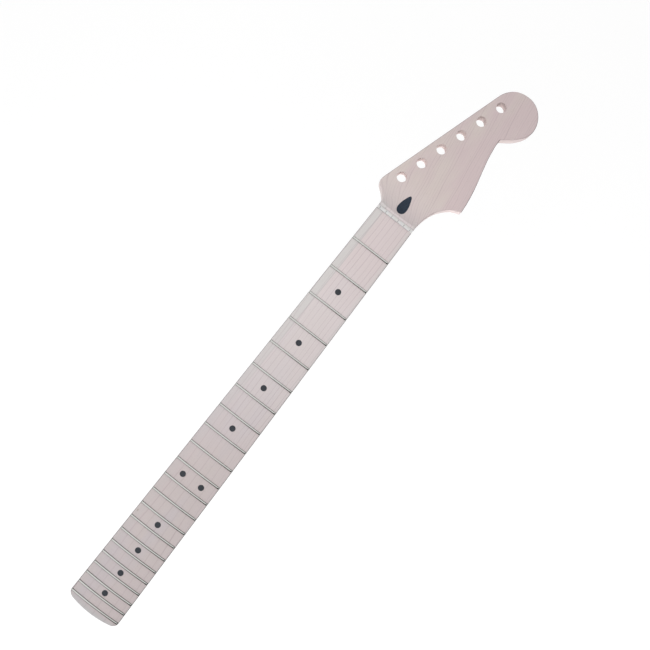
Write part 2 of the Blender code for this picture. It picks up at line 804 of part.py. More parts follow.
def make_truss_rod():
    """The steel rod, bowed so that its middle lies nearer the back."""
    heel = rod_nut_seat() - WASHER_THICK - 2 * SEAT_GAP - ROD_THREAD_GRIP
    places = [heel, *np.linspace(CHANNEL_HEEL, CHANNEL_HEAD, ROD_STEPS + 1), rod_head_end()]
    curve = bpy.data.curves.new("truss_rod", "CURVE")
    curve.dimensions = "3D"
    curve.bevel_depth = ROD / 2
    curve.bevel_resolution = ROD_ROUNDING_STEPS
    curve.use_fill_caps = True
    spline = curve.splines.new("POLY")
    spline.points.add(len(places) - 1)
    for point, along in zip(spline.points, places):
        point.co = (along, ROD_LINE, rod_height(along), 1)
    rod = bpy.data.objects.new("truss_rod", curve)
    parts.objects.link(rod)
    rod.parent = nut_line
    curve.materials.append(rod_steel)


def on_rod_axis(bm, name):
    """An object whose origin lies on the axis that the rod's nut turns about."""
    obj = add_mesh(bm, name, parts)
    obj.location = on_heel_axis(rod_nut_seat())
    return obj


def make_washer():
    bm = bmesh.new()
    cylinder_into(bm, (-SEAT_GAP - WASHER_THICK, 0, 0), (-SEAT_GAP, 0, 0), ROD_NUT / 2)
    washer = finish(on_rod_axis(bm, "rod_washer"), rod_steel)
    cut(washer, make_axis_bore("washer_bore", ROD / 2 + ROD_GAP))


def make_axis_bore(name, radius):
    bore = bore_cutter(name, (-2 * ROD_NUT_LENGTH, 0, 0), (CUT_PAST, 0, 0), radius)
    bore.location = on_heel_axis(rod_nut_seat())
    return bore


def make_rod_nut():
    """The round adjusting nut, with a crossed slot for a screwdriver in its outer end."""
    bm = bmesh.new()
    inner = -2 * SEAT_GAP - WASHER_THICK
    outer = inner - ROD_NUT_LENGTH
    cylinder_into(bm, (outer, 0, 0), (inner, 0, 0), ROD_NUT / 2)
    nut = finish(on_rod_axis(bm, "rod_nut"), nut_steel)
    cut(nut, make_axis_bore("nut_thread", ROD / 2 + RUNNING_GAP))
    long = ROD_NUT + CUT_PAST
    for name, wide, tall in (("slot_level", long, ROD_NUT_SLOT), ("slot_upright", ROD_NUT_SLOT, long)):
        bm = bmesh.new()
        size = Matrix.Diagonal((2 * ROD_NUT_SLOT_DEPTH, wide, tall, 1))
        bmesh.ops.create_cube(bm, size=1.0, matrix=Matrix.Translation((outer, 0, 0)) @ size)
        slot = as_cutter(add_mesh(bm, name, cutters))
        slot.location = nut.location
        cut(nut, slot)


def make_neck():
    """The maple blank, shaped and cut, and the dark wood pieces that lie flush with it."""
    bm = bmesh.new()
    bass = side_outline(BASS_POINTS, BASS_TURNS, 1)
    treble = side_outline(TREBLE_POINTS, TREBLE_TURNS, -1)
    loft_into(bm, neck_sections(bass, treble))
    neck = finish(add_mesh(bm, "neck", parts), maple)
    blank = as_cutter(bpy.data.objects.new("neck_blank", neck.data.copy()))
    cutters.objects.link(blank)
    blank.parent = nut_line
    nut_slot = make_nut_slot()
    inlays = [make_fret_slots(), nut_slot, make_dots(), make_side_dots()]
    holes = [make_tuner_holes(), make_pilot_holes(), make_channel(), *make_bores()]
    for cutter in [make_overhang_cut(), *inlays, *holes]:
        neck_cuts.objects.link(cutter)
    cut_all(neck, neck_cuts)
    make_stripe(blank)
    make_plug(blank, nut_slot)


for old in list(bpy.data.objects):
    bpy.data.objects.remove(old)

parts = new_collection(NAME)
cutters = new_collection(NAME + "_cutters")
neck_cuts = new_collection(NAME + "_neck_cuts")
nut_line = bpy.data.objects.new("nut_line", None)
nut_line.location = (NUT_X, 0, 0)
parts.objects.link(nut_line)

maple = material("maple", (0.66, 0.56, 0.50), 0.55)
dark_wood = material("dark_wood", (0.035, 0.04, 0.05), 0.5)
bone = material("bone", (0.72, 0.72, 0.69), 0.4)
fret_metal = material("fret_metal", (0.75, 0.75, 0.74), 0.25, 1.0)
dot_black = material("dot_black", (0.03, 0.035, 0.04), 0.4)
rod_steel = material("rod_steel", (0.45, 0.45, 0.45), 0.4, 1.0)
nut_steel = material("nut_steel", (0.6, 0.6, 0.58), 0.3, 1.0)

make_neck()
make_string_nut()
for fret in range(1, FRET_COUNT + 1):
    make_fret(fret)
make_truss_rod()
make_anchor()
make_washer()
make_rod_nut()
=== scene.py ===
import math

import bmesh
import bpy
import numpy as np
from mathutils import Matrix, Vector


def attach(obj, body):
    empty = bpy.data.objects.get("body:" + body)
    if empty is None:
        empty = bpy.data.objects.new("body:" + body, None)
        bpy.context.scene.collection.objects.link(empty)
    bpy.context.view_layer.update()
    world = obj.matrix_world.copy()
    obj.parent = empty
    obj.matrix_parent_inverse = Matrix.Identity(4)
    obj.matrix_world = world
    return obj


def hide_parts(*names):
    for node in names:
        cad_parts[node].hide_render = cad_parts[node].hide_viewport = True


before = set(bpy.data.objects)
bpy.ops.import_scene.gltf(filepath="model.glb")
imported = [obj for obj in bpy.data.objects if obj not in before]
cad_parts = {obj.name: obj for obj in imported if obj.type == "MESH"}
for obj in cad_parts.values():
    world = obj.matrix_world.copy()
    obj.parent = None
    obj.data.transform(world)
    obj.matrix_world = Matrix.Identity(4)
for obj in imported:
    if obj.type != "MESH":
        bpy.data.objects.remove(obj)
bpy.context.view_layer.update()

MM = 0.001

# The maple blank
# One board of hard maple makes the whole neck: heel, shaft, fretted board and headstock in one piece.
# It is sawn to its outline, radiused in front, carved round behind, sanded smooth and left raw.
OCTAVE = 12
SCALE_LENGTH = 648.0 * MM
FRET_COUNT = 22
WIDTH_AT_NUT = 41.8 * MM
WIDTH_AT_LAST_FRET = 56.0 * MM
BOARD_RADIUS = 241.0 * MM
END_PAST_LAST_FRET = 7.9 * MM
END_BOW = 1.9 * MM
END_CORNER = 6.2 * MM
BLANK_THICK = 25.4 * MM
HEAD_THICK = 14.0 * MM
EDGE_ROUND = 0.9 * MM
OVERHANG = 12.0 * MM
OVERHANG_THICK = 6.5 * MM
THICK_AT_FIRST_FRET = 21.0 * MM
THICK_AT_TWELFTH_FRET = 23.0 * MM
SIDE_HEIGHT = 4.5 * MM
BACK_FULLNESS = 2.25
HEEL_LENGTH = 76.0 * MM
HEEL_BLEND = 38.0 * MM
HEAD_BLEND_START = -14.0 * MM
HEAD_BLEND_END = 18.0 * MM
NUT_THICK = 3.3 * MM
SHELF = 2.6 * MM
RAMP_RADIUS = 40.0 * MM
RAMP_EASE = 0.35 * MM
SCREW_SPACING_ALONG = 51.0 * MM
SCREW_SPACING_ACROSS = 38.0 * MM
SCREW_EDGE = 12.7 * MM
TUNER_LINE_TURN = -17.44
HEAD_TIP = (175.6 * MM, -30.7 * MM)
BASS_POINTS = (
    (14.1 * MM, 3.8 * MM),
    (20.4 * MM, 11.5 * MM),
    (25.3 * MM, 13.7 * MM),
    (33.1 * MM, 12.0 * MM),
    (159.0 * MM, -27.6 * MM),
    (170.4 * MM, -35.3 * MM),
)
BASS_TURNS = (0.0, 44.0, 50.0, 0.0, TUNER_LINE_TURN, TUNER_LINE_TURN, -49.0)
TREBLE_POINTS = (
    (27.2 * MM, 4.1 * MM),
    (43.2 * MM, 16.7 * MM),
    (45.3 * MM, 21.1 * MM),
    (46.8 * MM, 25.0 * MM),
    (48.2 * MM, 25.95 * MM),
    (80.0 * MM, 20.9 * MM),
    (117.6 * MM, 12.9 * MM),
    (124.6 * MM, 12.7 * MM),
    (127.3 * MM, 14.1 * MM),
    (135.9 * MM, 25.3 * MM),
    (151.8 * MM, 33.3 * MM),
    (168.8 * MM, 26.0 * MM),
)
TREBLE_TURNS = (2.0, 22.0, 51.0, 64.0, 68.0, -3.0, -14.0, -5.0, 0.0, 55.0, 43.0, 0.0, -45.0)
TURN_STEP = 3.0
EDGE_STEPS = 5
TOP_STEPS = 34
SHAFT_STATION = 3.0 * MM
RAMP_STATION = 0.5 * MM
END_STATION = 0.12 * MM
CUT_PAST = 2.0 * MM


def fret_place(number):
    """Distance from the string nut to a fret, by equal temperament."""
    return SCALE_LENGTH * (1 - 2 ** (-number / OCTAVE))


# Places called "along" are measured from the string nut's front face, towards the headstock.
END = fret_place(FRET_COUNT) + END_PAST_LAST_FRET
HEEL_END = OVERHANG - END
HEEL_START = HEEL_END + HEEL_LENGTH
NUT_X = -HEEL_END - SCREW_EDGE - SCREW_SPACING_ALONG / 2
TAPER = (WIDTH_AT_LAST_FRET - WIDTH_AT_NUT) / fret_place(FRET_COUNT) / 2
TAPER_TURN = math.degrees(math.atan(TAPER))
RAMP_START = NUT_THICK + SHELF
RAMP_DROP = BLANK_THICK - HEAD_THICK
RAMP_FOOT = RAMP_START + math.sqrt(RAMP_RADIUS**2 - (RAMP_RADIUS - RAMP_DROP) ** 2)


def half_width(along):
    """Half the board's width, which tapers evenly from the heel to the nut."""
    return WIDTH_AT_NUT / 2 - TAPER * along


def board_height(y):
    """The radiused face of the board."""
    return BLANK_THICK - BOARD_RADIUS + np.sqrt(BOARD_RADIUS**2 - np.square(y))


def ramp_height(along):
    """The hollow ramp behind the nut, and past its foot the flat face of the headstock."""
    reach = np.clip(RAMP_FOOT - along, 0, RAMP_RADIUS)
    return HEAD_THICK + RAMP_RADIUS - np.sqrt(RAMP_RADIUS**2 - np.square(reach))


def top_height(along, y):
    """The front of the blank, with the corner between board and ramp eased by sanding."""
    board = board_height(y)
    ramp = ramp_height(along)
    share = np.clip(0.5 + (ramp - board) / (2 * RAMP_EASE), 0, 1)
    return board * share + ramp * (1 - share) - RAMP_EASE * share * (1 - share)


def curve_through(knots):
    """Points of a smooth curve through knots of (along, y, heading in degrees)."""
    points = [np.array(knots[0][:2])]
    for (x0, y0, turn0), (x1, y1, turn1) in zip(knots, knots[1:]):
        turn = abs(turn1 - turn0)
        reach = math.hypot(x1 - x0, y1 - y0) / (3 * math.cos(math.radians(turn / 4)) ** 2)
        start = np.array((x0, y0))
        end = np.array((x1, y1))
        lead = start + reach * np.array((math.cos(math.radians(turn0)), math.sin(math.radians(turn0))))
        trail = end - reach * np.array((math.cos(math.radians(turn1)), math.sin(math.radians(turn1))))
        steps = max(1, math.ceil(turn / TURN_STEP))
        for step in range(1, steps + 1):
            t = step / steps
            u = 1 - t
            points.append(u**3 * start + 3 * t * u * u * lead + 3 * t * t * u * trail + t**3 * end)
    return np.array(points)


def end_knots(end, spare=0.0):
    """The bowed end of the board and its round corner, on the tuner side."""
    corner_along = end + END_BOW + END_CORNER
    half = half_width(corner_along) + spare
    bow_turn = 90 - math.degrees(2 * math.atan(END_BOW / (half - END_CORNER)))
    return [
        (end, 0.0, 90.0),
        (end + END_BOW, half - END_CORNER, bow_turn),
        (corner_along, half, -TAPER_TURN),
    ]


def side_outline(points, turns, hand):
    """One side of the outline, from the board's end to the headstock's tip; hand is 1 on the tuner side."""
    start = NUT_THICK + SHELF / 2
    knots = end_knots(-END)
    knots.append((start, half_width(start), turns[0] - TAPER_TURN))
    for (along, out), turn in zip(points, turns[1:]):
        knots.append((along, half_width(0) + out, turn))
    knots.append((HEAD_TIP[0], hand * HEAD_TIP[1], -90.0))
    return curve_through([(along, hand * y, hand * turn) for along, y, turn in knots])


def edge_distance(outline, points):
    """Distance from each point to the outline."""
    nearest = np.full(len(points), np.inf)
    for start, end in zip(outline, outline[1:]):
        run = end - start
        share = np.clip((points - start) @ run / max(run @ run, 1e-18), 0, 1)
        gap = points - start - share[:, None] * run
        nearest = np.minimum(nearest, np.hypot(gap[:, 0], gap[:, 1]))
    return nearest


def rounding_drop(distance, radius):
    """How far a rounded edge lies below its face at a distance from the outline."""
    inside = np.clip(radius - distance, 0, radius)
    return radius - np.sqrt(radius**2 - inside**2)


def smooth_step(value):
    value = min(max(value, 0.0), 1.0)
    return value * value * (3 - 2 * value)


def flatness(along):
    """0 where the back is carved to its round profile, 1 where heel and headstock are flat."""
    heel = smooth_step((HEEL_START + HEEL_BLEND - along) / HEEL_BLEND)
    head = smooth_step((along - HEAD_BLEND_START) / (HEAD_BLEND_END - HEAD_BLEND_START))
    return max(heel, head)


def neck_thickness(along):
    first = fret_place(1)
    slope = (THICK_AT_TWELFTH_FRET - THICK_AT_FIRST_FRET) / (fret_place(OCTAVE) - first)
    return THICK_AT_FIRST_FRET + slope * (-along - first)


def side_at(side, along):
    """Where a side of the outline lies at a station, and its slope there."""
    reach = 0.1 * MM
    before, y, after = np.interp([along - reach, along, along + reach], side[:, 0], side[:, 1])
    return y, (after - before) / (2 * reach)


def across(side_a, side_b, slope_a, slope_b):
    """Places across the neck, close together in the rounded edges and even between them."""
    offsets = EDGE_ROUND * (1 - np.cos(np.linspace(0, math.pi / 2, EDGE_STEPS + 1)))
    most = 0.45 * (side_a - side_b) * np.linspace(0, 1, EDGE_STEPS + 1)
    from_a = np.minimum(offsets * math.hypot(1, slope_a), most)
    from_b = np.minimum(offsets * math.hypot(1, slope_b), most)
    middle = np.linspace(side_a - from_a[-1], side_b + from_b[-1], TOP_STEPS + 1)[1:-1]
    return np.concatenate([side_a - from_a, middle, (side_b + from_b)[::-1]])


def back_path(along, a, b, places, drop):
    """The back of one section, tuner side first: a carved round, a flat, or between the two."""
    share = flatness(along)
    flat = np.column_stack([places, drop])
    angle = np.linspace(0, math.pi, len(places))
    power = 2 / BACK_FULLNESS
    reach = np.abs(np.cos(angle)) ** power
    side_height = board_height(min(a, -b)) - SIDE_HEIGHT
    low = BLANK_THICK - neck_thickness(along)
    round_y = np.where(angle <= math.pi / 2, a * reach, b * reach)
    round_z = side_height - (side_height - low) * np.sin(angle) ** power
    return share * flat + (1 - share) * np.column_stack([round_y, round_z])


def stations(bass, treble):
    """Places along the neck where its section is drawn, closer together where its shape turns."""
    tip = HEAD_TIP[0]
    near_end = EDGE_ROUND * (1 - np.cos(np.linspace(0, math.pi / 2, EDGE_STEPS + 1)))
    places = list(bass[1:-1, 0]) + list(treble[1:-1, 0])
    places += list(np.arange(-END, tip, SHAFT_STATION))
    places += list(np.arange(HEAD_BLEND_START, RAMP_FOOT, RAMP_STATION))
    places += list(np.arange(RAMP_START - RAMP_STATION, RAMP_START + 2 * RAMP_STATION, END_STATION))
    places += list(near_end - END) + list(tip - near_end)
    kept = [-END + END_STATION / 6]
    for place in sorted(places):
        if place - kept[-1] > END_STATION and tip - place > END_STATION:
            kept.append(place)
    return kept + [tip - END_STATION / 6]


def neck_sections():
    """Closed sections across the blank, from the board's end to the headstock's tip."""
    bass = side_outline(BASS_POINTS, BASS_TURNS, 1)
    treble = side_outline(TREBLE_POINTS, TREBLE_TURNS, -1)
    outline = np.vstack([bass, treble[::-1]])
    sections = []
    for along in stations(bass, treble):
        a, slope_a = side_at(bass, along)
        b, slope_b = side_at(treble, along)
        places = across(a, b, slope_a, slope_b)
        flat = np.column_stack([np.full(len(places), along), places])
        drop = rounding_drop(edge_distance(outline, flat), EDGE_ROUND)
        top = np.column_stack([places, top_height(along, places) - drop])
        ring = np.vstack([top, back_path(along, a, b, places, drop)[::-1]])
        sections.append([(along, y, z) for y, z in ring])
    return sections


def loft_into(bm, rings, closed=False):
    """A solid through rings that have the same number of corners; a closed one ends where it starts."""
    corners = [[bm.verts.new(corner) for corner in ring] for ring in rings]
    following = corners[1:] + corners[:1] if closed else corners[1:]
    for ring, beyond in zip(corners, following):
        for i in range(len(ring)):
            j = (i + 1) % len(ring)
            bm.faces.new((ring[i], ring[j], beyond[j], beyond[i]))
    if not closed:
        bm.faces.new(corners[0][::-1])
        bm.faces.new(corners[-1])


def new_piece(bm, name):
    """An object of the mesh, set at its place along the neck."""
    bmesh.ops.recalc_face_normals(bm, faces=bm.faces)
    bmesh.ops.translate(bm, verts=bm.verts, vec=(NUT_X, 0, 0))
    mesh = bpy.data.meshes.new(name)
    bm.to_mesh(mesh)
    bm.free()
    piece = bpy.data.objects.new(name, mesh)
    bpy.context.scene.collection.objects.link(piece)
    return piece


def shape(piece, other, operation):
    """Cuts the other's shape away from a piece, or keeps only what lies inside it."""
    modifier = piece.modifiers.new("shape", "BOOLEAN")
    modifier.operation = operation
    modifier.object = other
    modifier.solver = "EXACT"
    bpy.context.view_layer.update()
    seen = piece.evaluated_get(bpy.context.evaluated_depsgraph_get())
    shaped = bpy.data.meshes.new_from_object(seen)
    piece.modifiers.clear()
    piece.data = shaped
    smooth(piece)


def smooth(piece):
    """Smooth shading, with edges that turn sharply kept crisp."""
    piece.data.shade_smooth()
    piece.data.set_sharp_from_angle(angle=math.radians(30))


def cut(piece, bm):
    """Takes a cutter's shape away from a piece."""
    cutter = new_piece(bm, "cutter")
    shape(piece, cutter, "DIFFERENCE")
    bpy.data.objects.remove(cutter)


def turned_into(bm, profile, start, towards, sides, closed=False):
    """A round solid about the line from start towards a point; the profile gives reaches on it and radii."""
    start = Vector(start)
    axis = (Vector(towards) - start).normalized()
    side = axis.orthogonal().normalized()
    up = axis.cross(side)
    turns = [2 * math.pi * step / sides for step in range(sides)]
    rim = [math.cos(turn) * side + math.sin(turn) * up for turn in turns]
    loft_into(bm, [[start + reach * axis + radius * out for out in rim] for reach, radius in profile], closed)


def new_material(name):
    """A material with its node tree and its shader."""
    made = bpy.data.materials.new(name)
    made.use_nodes = True
    return made, made.node_tree, made.node_tree.nodes["Principled BSDF"]


def node(tree, kind, inputs, **settings):
    """Adds a node with its settings and inputs; an input that is an output of another node is linked."""
    made = tree.nodes.new("ShaderNode" + kind)
    for key, value in settings.items():
        setattr(made, key, value)
    for key, value in inputs.items():
        if isinstance(value, bpy.types.NodeSocket):
            tree.links.new(value, made.inputs[key])
        else:
            made.inputs[key].default_value = value
    return made


def noise(tree, scale, detail=2.0, roughness=0.5, offset=(0, 0, 0)):
    """Noise stretched by a scale of its own along each axis, in turns per metre."""
    place = node(tree, "TexCoord", {}).outputs["Object"]
    place = node(tree, "Mapping", {0: place, "Scale": scale, "Location": offset}).outputs[0]
    inputs = {"Vector": place, "Scale": 1.0, "Detail": detail, "Roughness": roughness}
    return node(tree, "TexNoise", inputs).outputs["Fac"]


def spread(tree, value, low, high, to_low, to_high, kind="LINEAR"):
    """Maps a value from one range to another and holds it there."""
    inputs = {0: value, 1: low, 2: high, 3: to_low, 4: to_high}
    return node(tree, "MapRange", inputs, interpolation_type=kind).outputs[0]


def tint(tree, share, colour, other):
    """A mix of two colours."""
    return node(tree, "Mix", {0: share, 6: colour, 7: other}, data_type="RGBA").outputs[2]


def math_of(tree, operation, a, b=0.0, c=0.0):
    return node(tree, "Math", {0: a, 1: b, 2: c}, operation=operation).outputs[0]


def feel(tree, shader, height, strength, depth):
    """Gives a surface its fine relief."""
    bump = node(tree, "Bump", {"Height": height, "Strength": strength, "Distance": depth})
    tree.links.new(bump.outputs[0], shader.inputs["Normal"])


def fit(piece, finish, body, cad_node):
    """Gives a piece its finish, lets it move with its body and stand for its solid."""
    piece.data.materials.clear()
    piece.data.materials.append(finish)
    smooth(piece)
    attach(piece, body)
    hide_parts(cad_node)


blank = bmesh.new()
loft_into(blank, neck_sections())
neck = new_piece(blank, "maple_neck")

# The board's end reaches past the heel, so the wood under it is sawn away along the same bow.
corner = curve_through(end_knots(HEEL_END, EDGE_ROUND / 2))
reach = WIDTH_AT_LAST_FRET
under_board = bmesh.new()
rings = []
for y in sorted({*corner[:, 1], *-corner[:, 1], -reach, reach}):
    edge = float(np.interp(abs(y), corner[:, 1], corner[:, 0]))
    roof = BLANK_THICK - OVERHANG_THICK
    away = -END - CUT_PAST
    rings.append([(away, y, -CUT_PAST), (edge, y, -CUT_PAST), (edge, y, roof), (away, y, roof)])
loft_into(under_board, rings)
cut(neck, under_board)

# Four pilot holes in the heel take the neck screws.
PILOT_HOLE = 3.2 * MM
PILOT_DEPTH = 16.0 * MM
PILOT_POINT = 0.9 * MM
HOLE_EASE = 0.12 * MM
pilots = bmesh.new()
for side_x in (-1, 1):
    for side_y in (-1, 1):
        start = (side_x * SCREW_SPACING_ALONG / 2 - NUT_X, side_y * SCREW_SPACING_ACROSS / 2, 0)
        radius = PILOT_HOLE / 2
        flare = radius + HOLE_EASE
        profile = [(-HOLE_EASE, flare + HOLE_EASE), (0, flare), (HOLE_EASE, radius)]
        profile += [(PILOT_DEPTH - PILOT_POINT, radius), (PILOT_DEPTH, 0.1 * radius)]
        turned_into(pilots, profile, start, (start[0], start[1], 1), 32)
cut(neck, pilots)

# Six holes through the headstock take the tuning machines, on a line along its straight edge.
TUNER_HOLE = 10.0 * MM
TUNER_FIRST = (39.5 * MM, -1.1 * MM)
TUNER_PITCH = 23.43 * MM
TUNER_COUNT = 6
tuner_holes = bmesh.new()
line_turn = math.radians(TUNER_LINE_TURN)
for number in range(TUNER_COUNT):
    along = TUNER_FIRST[0] + number * TUNER_PITCH * math.cos(line_turn)
    y = half_width(0) + TUNER_FIRST[1] + number * TUNER_PITCH * math.sin(line_turn)
    radius = TUNER_HOLE / 2
    flare = radius + HOLE_EASE
    profile = [(-HOLE_EASE, flare + HOLE_EASE), (0, flare), (HOLE_EASE, radius)]
    profile += [(HEAD_THICK - reach, radius + extra) for reach, extra in
                ((HOLE_EASE, 0), (0, HOLE_EASE), (-HOLE_EASE, 2 * HOLE_EASE))]
    turned_into(tuner_holes, profile, (along, y, 0), (along, y, 1), 64)
cut(neck, tuner_holes)

# Hard maple is pale and faintly pink, with thin darker lines at its growth rings, fine fibres along the neck
# and specks of pores. The tree's middle lay above the tuner side. A greyer streak runs along the tuner edge.
PITH_Y = 0.048
PITH_Z = 0.055
RING = 2.1 * MM
PINK = (0.672, 0.586, 0.584, 1)
WARM = (0.660, 0.583, 0.572, 1)
LILAC = (0.640, 0.578, 0.598, 1)
TAN = (0.632, 0.514, 0.515, 1)
STRAW = (0.648, 0.562, 0.528, 1)
GREY = (0.628, 0.606, 0.593, 1)
FLECK = (0.30, 0.25, 0.17, 1)
SAWN_PAINTED_LIGHT = (0.705, 0.595, 0.580, 1)
RING_DARK = (0.36, 0.26, 0.29, 1)
RING_SHIFT = -2.75 * MM
maple, tree, shader = new_material("raw_maple")
place = node(tree, "TexCoord", {}).outputs["Object"]
axes = node(tree, "SeparateXYZ", {0: place}).outputs
head = spread(tree, axes[0], NUT_X + 0.004, NUT_X + 0.045, 0.0, 1.0)
heel = spread(tree, axes[0], NUT_X - 0.10, NUT_X - 0.32, 0.0, 1.0)
bend = spread(tree, axes[0], NUT_X + 0.012, NUT_X + 0.18, 0.0, 0.025)
drift = spread(tree, axes[0], NUT_X - 0.25, NUT_X - 0.47, 0.0, -0.012)
drift = math_of(tree, "MULTIPLY", drift, spread(tree, axes[1], 0.005, -0.020, 0.1, 1.0))
bend = math_of(tree, "ADD", bend, drift)
wander = math_of(tree, "MULTIPLY_ADD", noise(tree, (5, 16, 16), 3.0), 0.010, -0.005)
side = math_of(tree, "SUBTRACT", math_of(tree, "SUBTRACT", axes[1], PITH_Y), bend)
rise = math_of(tree, "SUBTRACT", axes[2], PITH_Z)
radius = node(tree, "CombineXYZ", {0: side, 1: rise}).outputs[0]
radius = node(tree, "VectorMath", {0: radius}, operation="LENGTH").outputs["Value"]
uneven = noise(tree, (1.5, 110, 110), 1.0, offset=(0.2, 0.5, 0.8))
radius = math_of(tree, "ADD", radius, spread(tree, uneven, 0.0, 1.0, RING_SHIFT - 1.6 * MM, RING_SHIFT + 1.6 * MM))
wave = math_of(tree, "MULTIPLY", spread(tree, noise(tree, (14, 70, 70), 2.0, offset=(0.9, 0.1, 0.4)), 0.2, 0.8, -1.4 * MM, 1.4 * MM), head)
radius = math_of(tree, "ADD", radius, wave)
rings = math_of(tree, "DIVIDE", math_of(tree, "ADD", radius, wander), RING)
year = math_of(tree, "FRACT", rings)
late_wood = node(tree, "ValToRGB", {0: year})
stops = late_wood.color_ramp.elements
stops[0].color = (0.5, 0.5, 0.5, 1)
stops[1].color = (1, 1, 1, 1)
for position, grey in ((0.05, 0.0), (0.62, 0.0), (0.86, 0.22), (0.95, 0.9)):
    stops.new(position).color = (grey, grey, grey, 1)
other_year = math_of(tree, "FRACT", math_of(tree, "MULTIPLY", math_of(tree, "FLOOR", rings), 0.5))
third_year = math_of(tree, "FRACT", math_of(tree, "DIVIDE", math_of(tree, "FLOOR", rings), 3.0))
other_year = math_of(tree, "GREATER_THAN", other_year, 0.25)
third_year = math_of(tree, "GREATER_THAN", third_year, 0.2)
near_heel = spread(tree, axes[0], NUT_X - 0.24, NUT_X - 0.30, 0.0, 1.0)
fainter = node(tree, "Mix", {0: near_heel, 2: other_year, 3: third_year}).outputs[0]
faint = math_of(tree, "MULTIPLY", fainter, spread(tree, head, 0, 1, 1.0, 0.0))
hard_year = node(tree, "TexWhiteNoise", {"W": math_of(tree, "FLOOR", rings)}, noise_dimensions="1D")
strength = spread(tree, hard_year.outputs["Value"], 0.15, 1.0, 0.55, 0.95)
strength = math_of(tree, "MULTIPLY", strength, spread(tree, noise(tree, (9, 60, 60)), 0.35, 0.65, 0.55, 1.0))
strength = math_of(tree, "MULTIPLY", strength, math_of(tree, "SUBTRACT", 1.0, faint))
weak = math_of(tree, "MULTIPLY", spread(tree, hard_year.outputs["Value"], 0.2, 0.8, 0.75, 0.0), head)
strength = math_of(tree, "MULTIPLY", strength, math_of(tree, "SUBTRACT", 1.0, weak))
line = math_of(tree, "MULTIPLY", late_wood.outputs[0], strength)
fibre = noise(tree, (35, 900, 900), 4.0, 0.7)
cloud = noise(tree, (7, 45, 45), 2.0, offset=(3.1, 0.7, 0.2))
tone = tint(tree, spread(tree, cloud, 0.35, 0.65, 0.0, 1.0), PINK, WARM)
lilac = spread(tree, noise(tree, (9, 42, 42), 2.0, offset=(1.7, 2.4, 0.9)), 0.45, 0.7, 0.0, 0.8)
lilac = math_of(tree, "MULTIPLY", lilac, spread(tree, axes[0], NUT_X - 0.05, NUT_X - 0.09, 0.0, 1.0))
tone = tint(tree, lilac, tone, LILAC)
paler = spread(tree, axes[0], NUT_X - 0.05, NUT_X - 0.11, 0.0, 1.0)
paler = math_of(tree, "MULTIPLY", paler, spread(tree, axes[0], NUT_X - 0.20, NUT_X - 0.27, 1.0, 0.0))
# Painted light: the shelf and the start of the ramp behind the nut are made paler, standing in for light that the nut
# and the ramp's tilt keep off them.
painted_light_behind_nut = spread(tree, axes[0], NUT_X + 0.008, NUT_X + 0.020, 0.9, 0.0)
painted_light_behind_nut = math_of(tree, "MULTIPLY", painted_light_behind_nut, spread(tree, axes[0], NUT_X - 0.001, NUT_X, 0.0, 1.0))
paler = math_of(tree, "MULTIPLY", math_of(tree, "MAXIMUM", paler, painted_light_behind_nut), 0.32)
tone = tint(tree, paler, tone, (0.705, 0.660, 0.665, 1))
blotch = noise(tree, (16, 38, 38), 2.0, offset=(0.3, 1.9, 0.6))
blotch = math_of(tree, "MULTIPLY_ADD", axes[1], 5.0, blotch)
patch = noise(tree, (24, 60, 60), 1.0, offset=(2.25, 1.7, 0.3))
blotch = math_of(tree, "MULTIPLY_ADD", patch, 0.9, blotch)
head_tone = tint(tree, spread(tree, blotch, 0.78, 1.06, 0.0, 1.0), TAN, STRAW)
tone = tint(tree, math_of(tree, "MULTIPLY", head, 0.85), tone, head_tone)
slant = math_of(tree, "MULTIPLY_ADD", axes[0], 0.016, axes[1])
slant = math_of(tree, "ADD", slant, math_of(tree, "MULTIPLY", wander, 0.15))
streak = spread(tree, slant, 0.0188, 0.0202, 0.0, 0.85, "SMOOTHSTEP")
far_slant = math_of(tree, "MULTIPLY_ADD", axes[0], 0.016, math_of(tree, "MULTIPLY", axes[1], -1.0))
streak = math_of(tree, "ADD", streak, spread(tree, far_slant, 0.0225, 0.0265, 0.0, 0.45, "SMOOTHSTEP"))
streak = math_of(tree, "MULTIPLY", streak, spread(tree, axes[0], NUT_X + 0.004, NUT_X + 0.012, 1.0, 0.0))
streak = math_of(tree, "MULTIPLY", streak, spread(tree, axes[0], NUT_X - 0.10, NUT_X - 0.26, 1.0, 0.2))
past_end = spread(tree, axes[0], NUT_X - 0.467, NUT_X - 0.474, 0.0, 0.8)
streak = math_of(tree, "MAXIMUM", streak, past_end)
tone = tint(tree, streak, tone, GREY)
tone = tint(tree, math_of(tree, "MULTIPLY", past_end, 0.7), tone, (0.592, 0.588, 0.612, 1))
beside = math_of(tree, "ABSOLUTE", math_of(tree, "SUBTRACT", slant, 0.0200))
border = spread(tree, beside, 0.0002, 0.0007, 0.28, 0.0)
border = math_of(tree, "MULTIPLY", border, spread(tree, axes[0], NUT_X + 0.004, NUT_X + 0.008, 1.0, 0.0))
border = math_of(tree, "MULTIPLY", border, spread(tree, axes[0], NUT_X - 0.10, NUT_X - 0.26, 1.0, 0.0))
tone = tint(tree, border, tone, RING_DARK)
facing = node(tree, "SeparateXYZ", {0: node(tree, "NewGeometry", {}).outputs["Normal"]}).outputs
upward = facing[2]
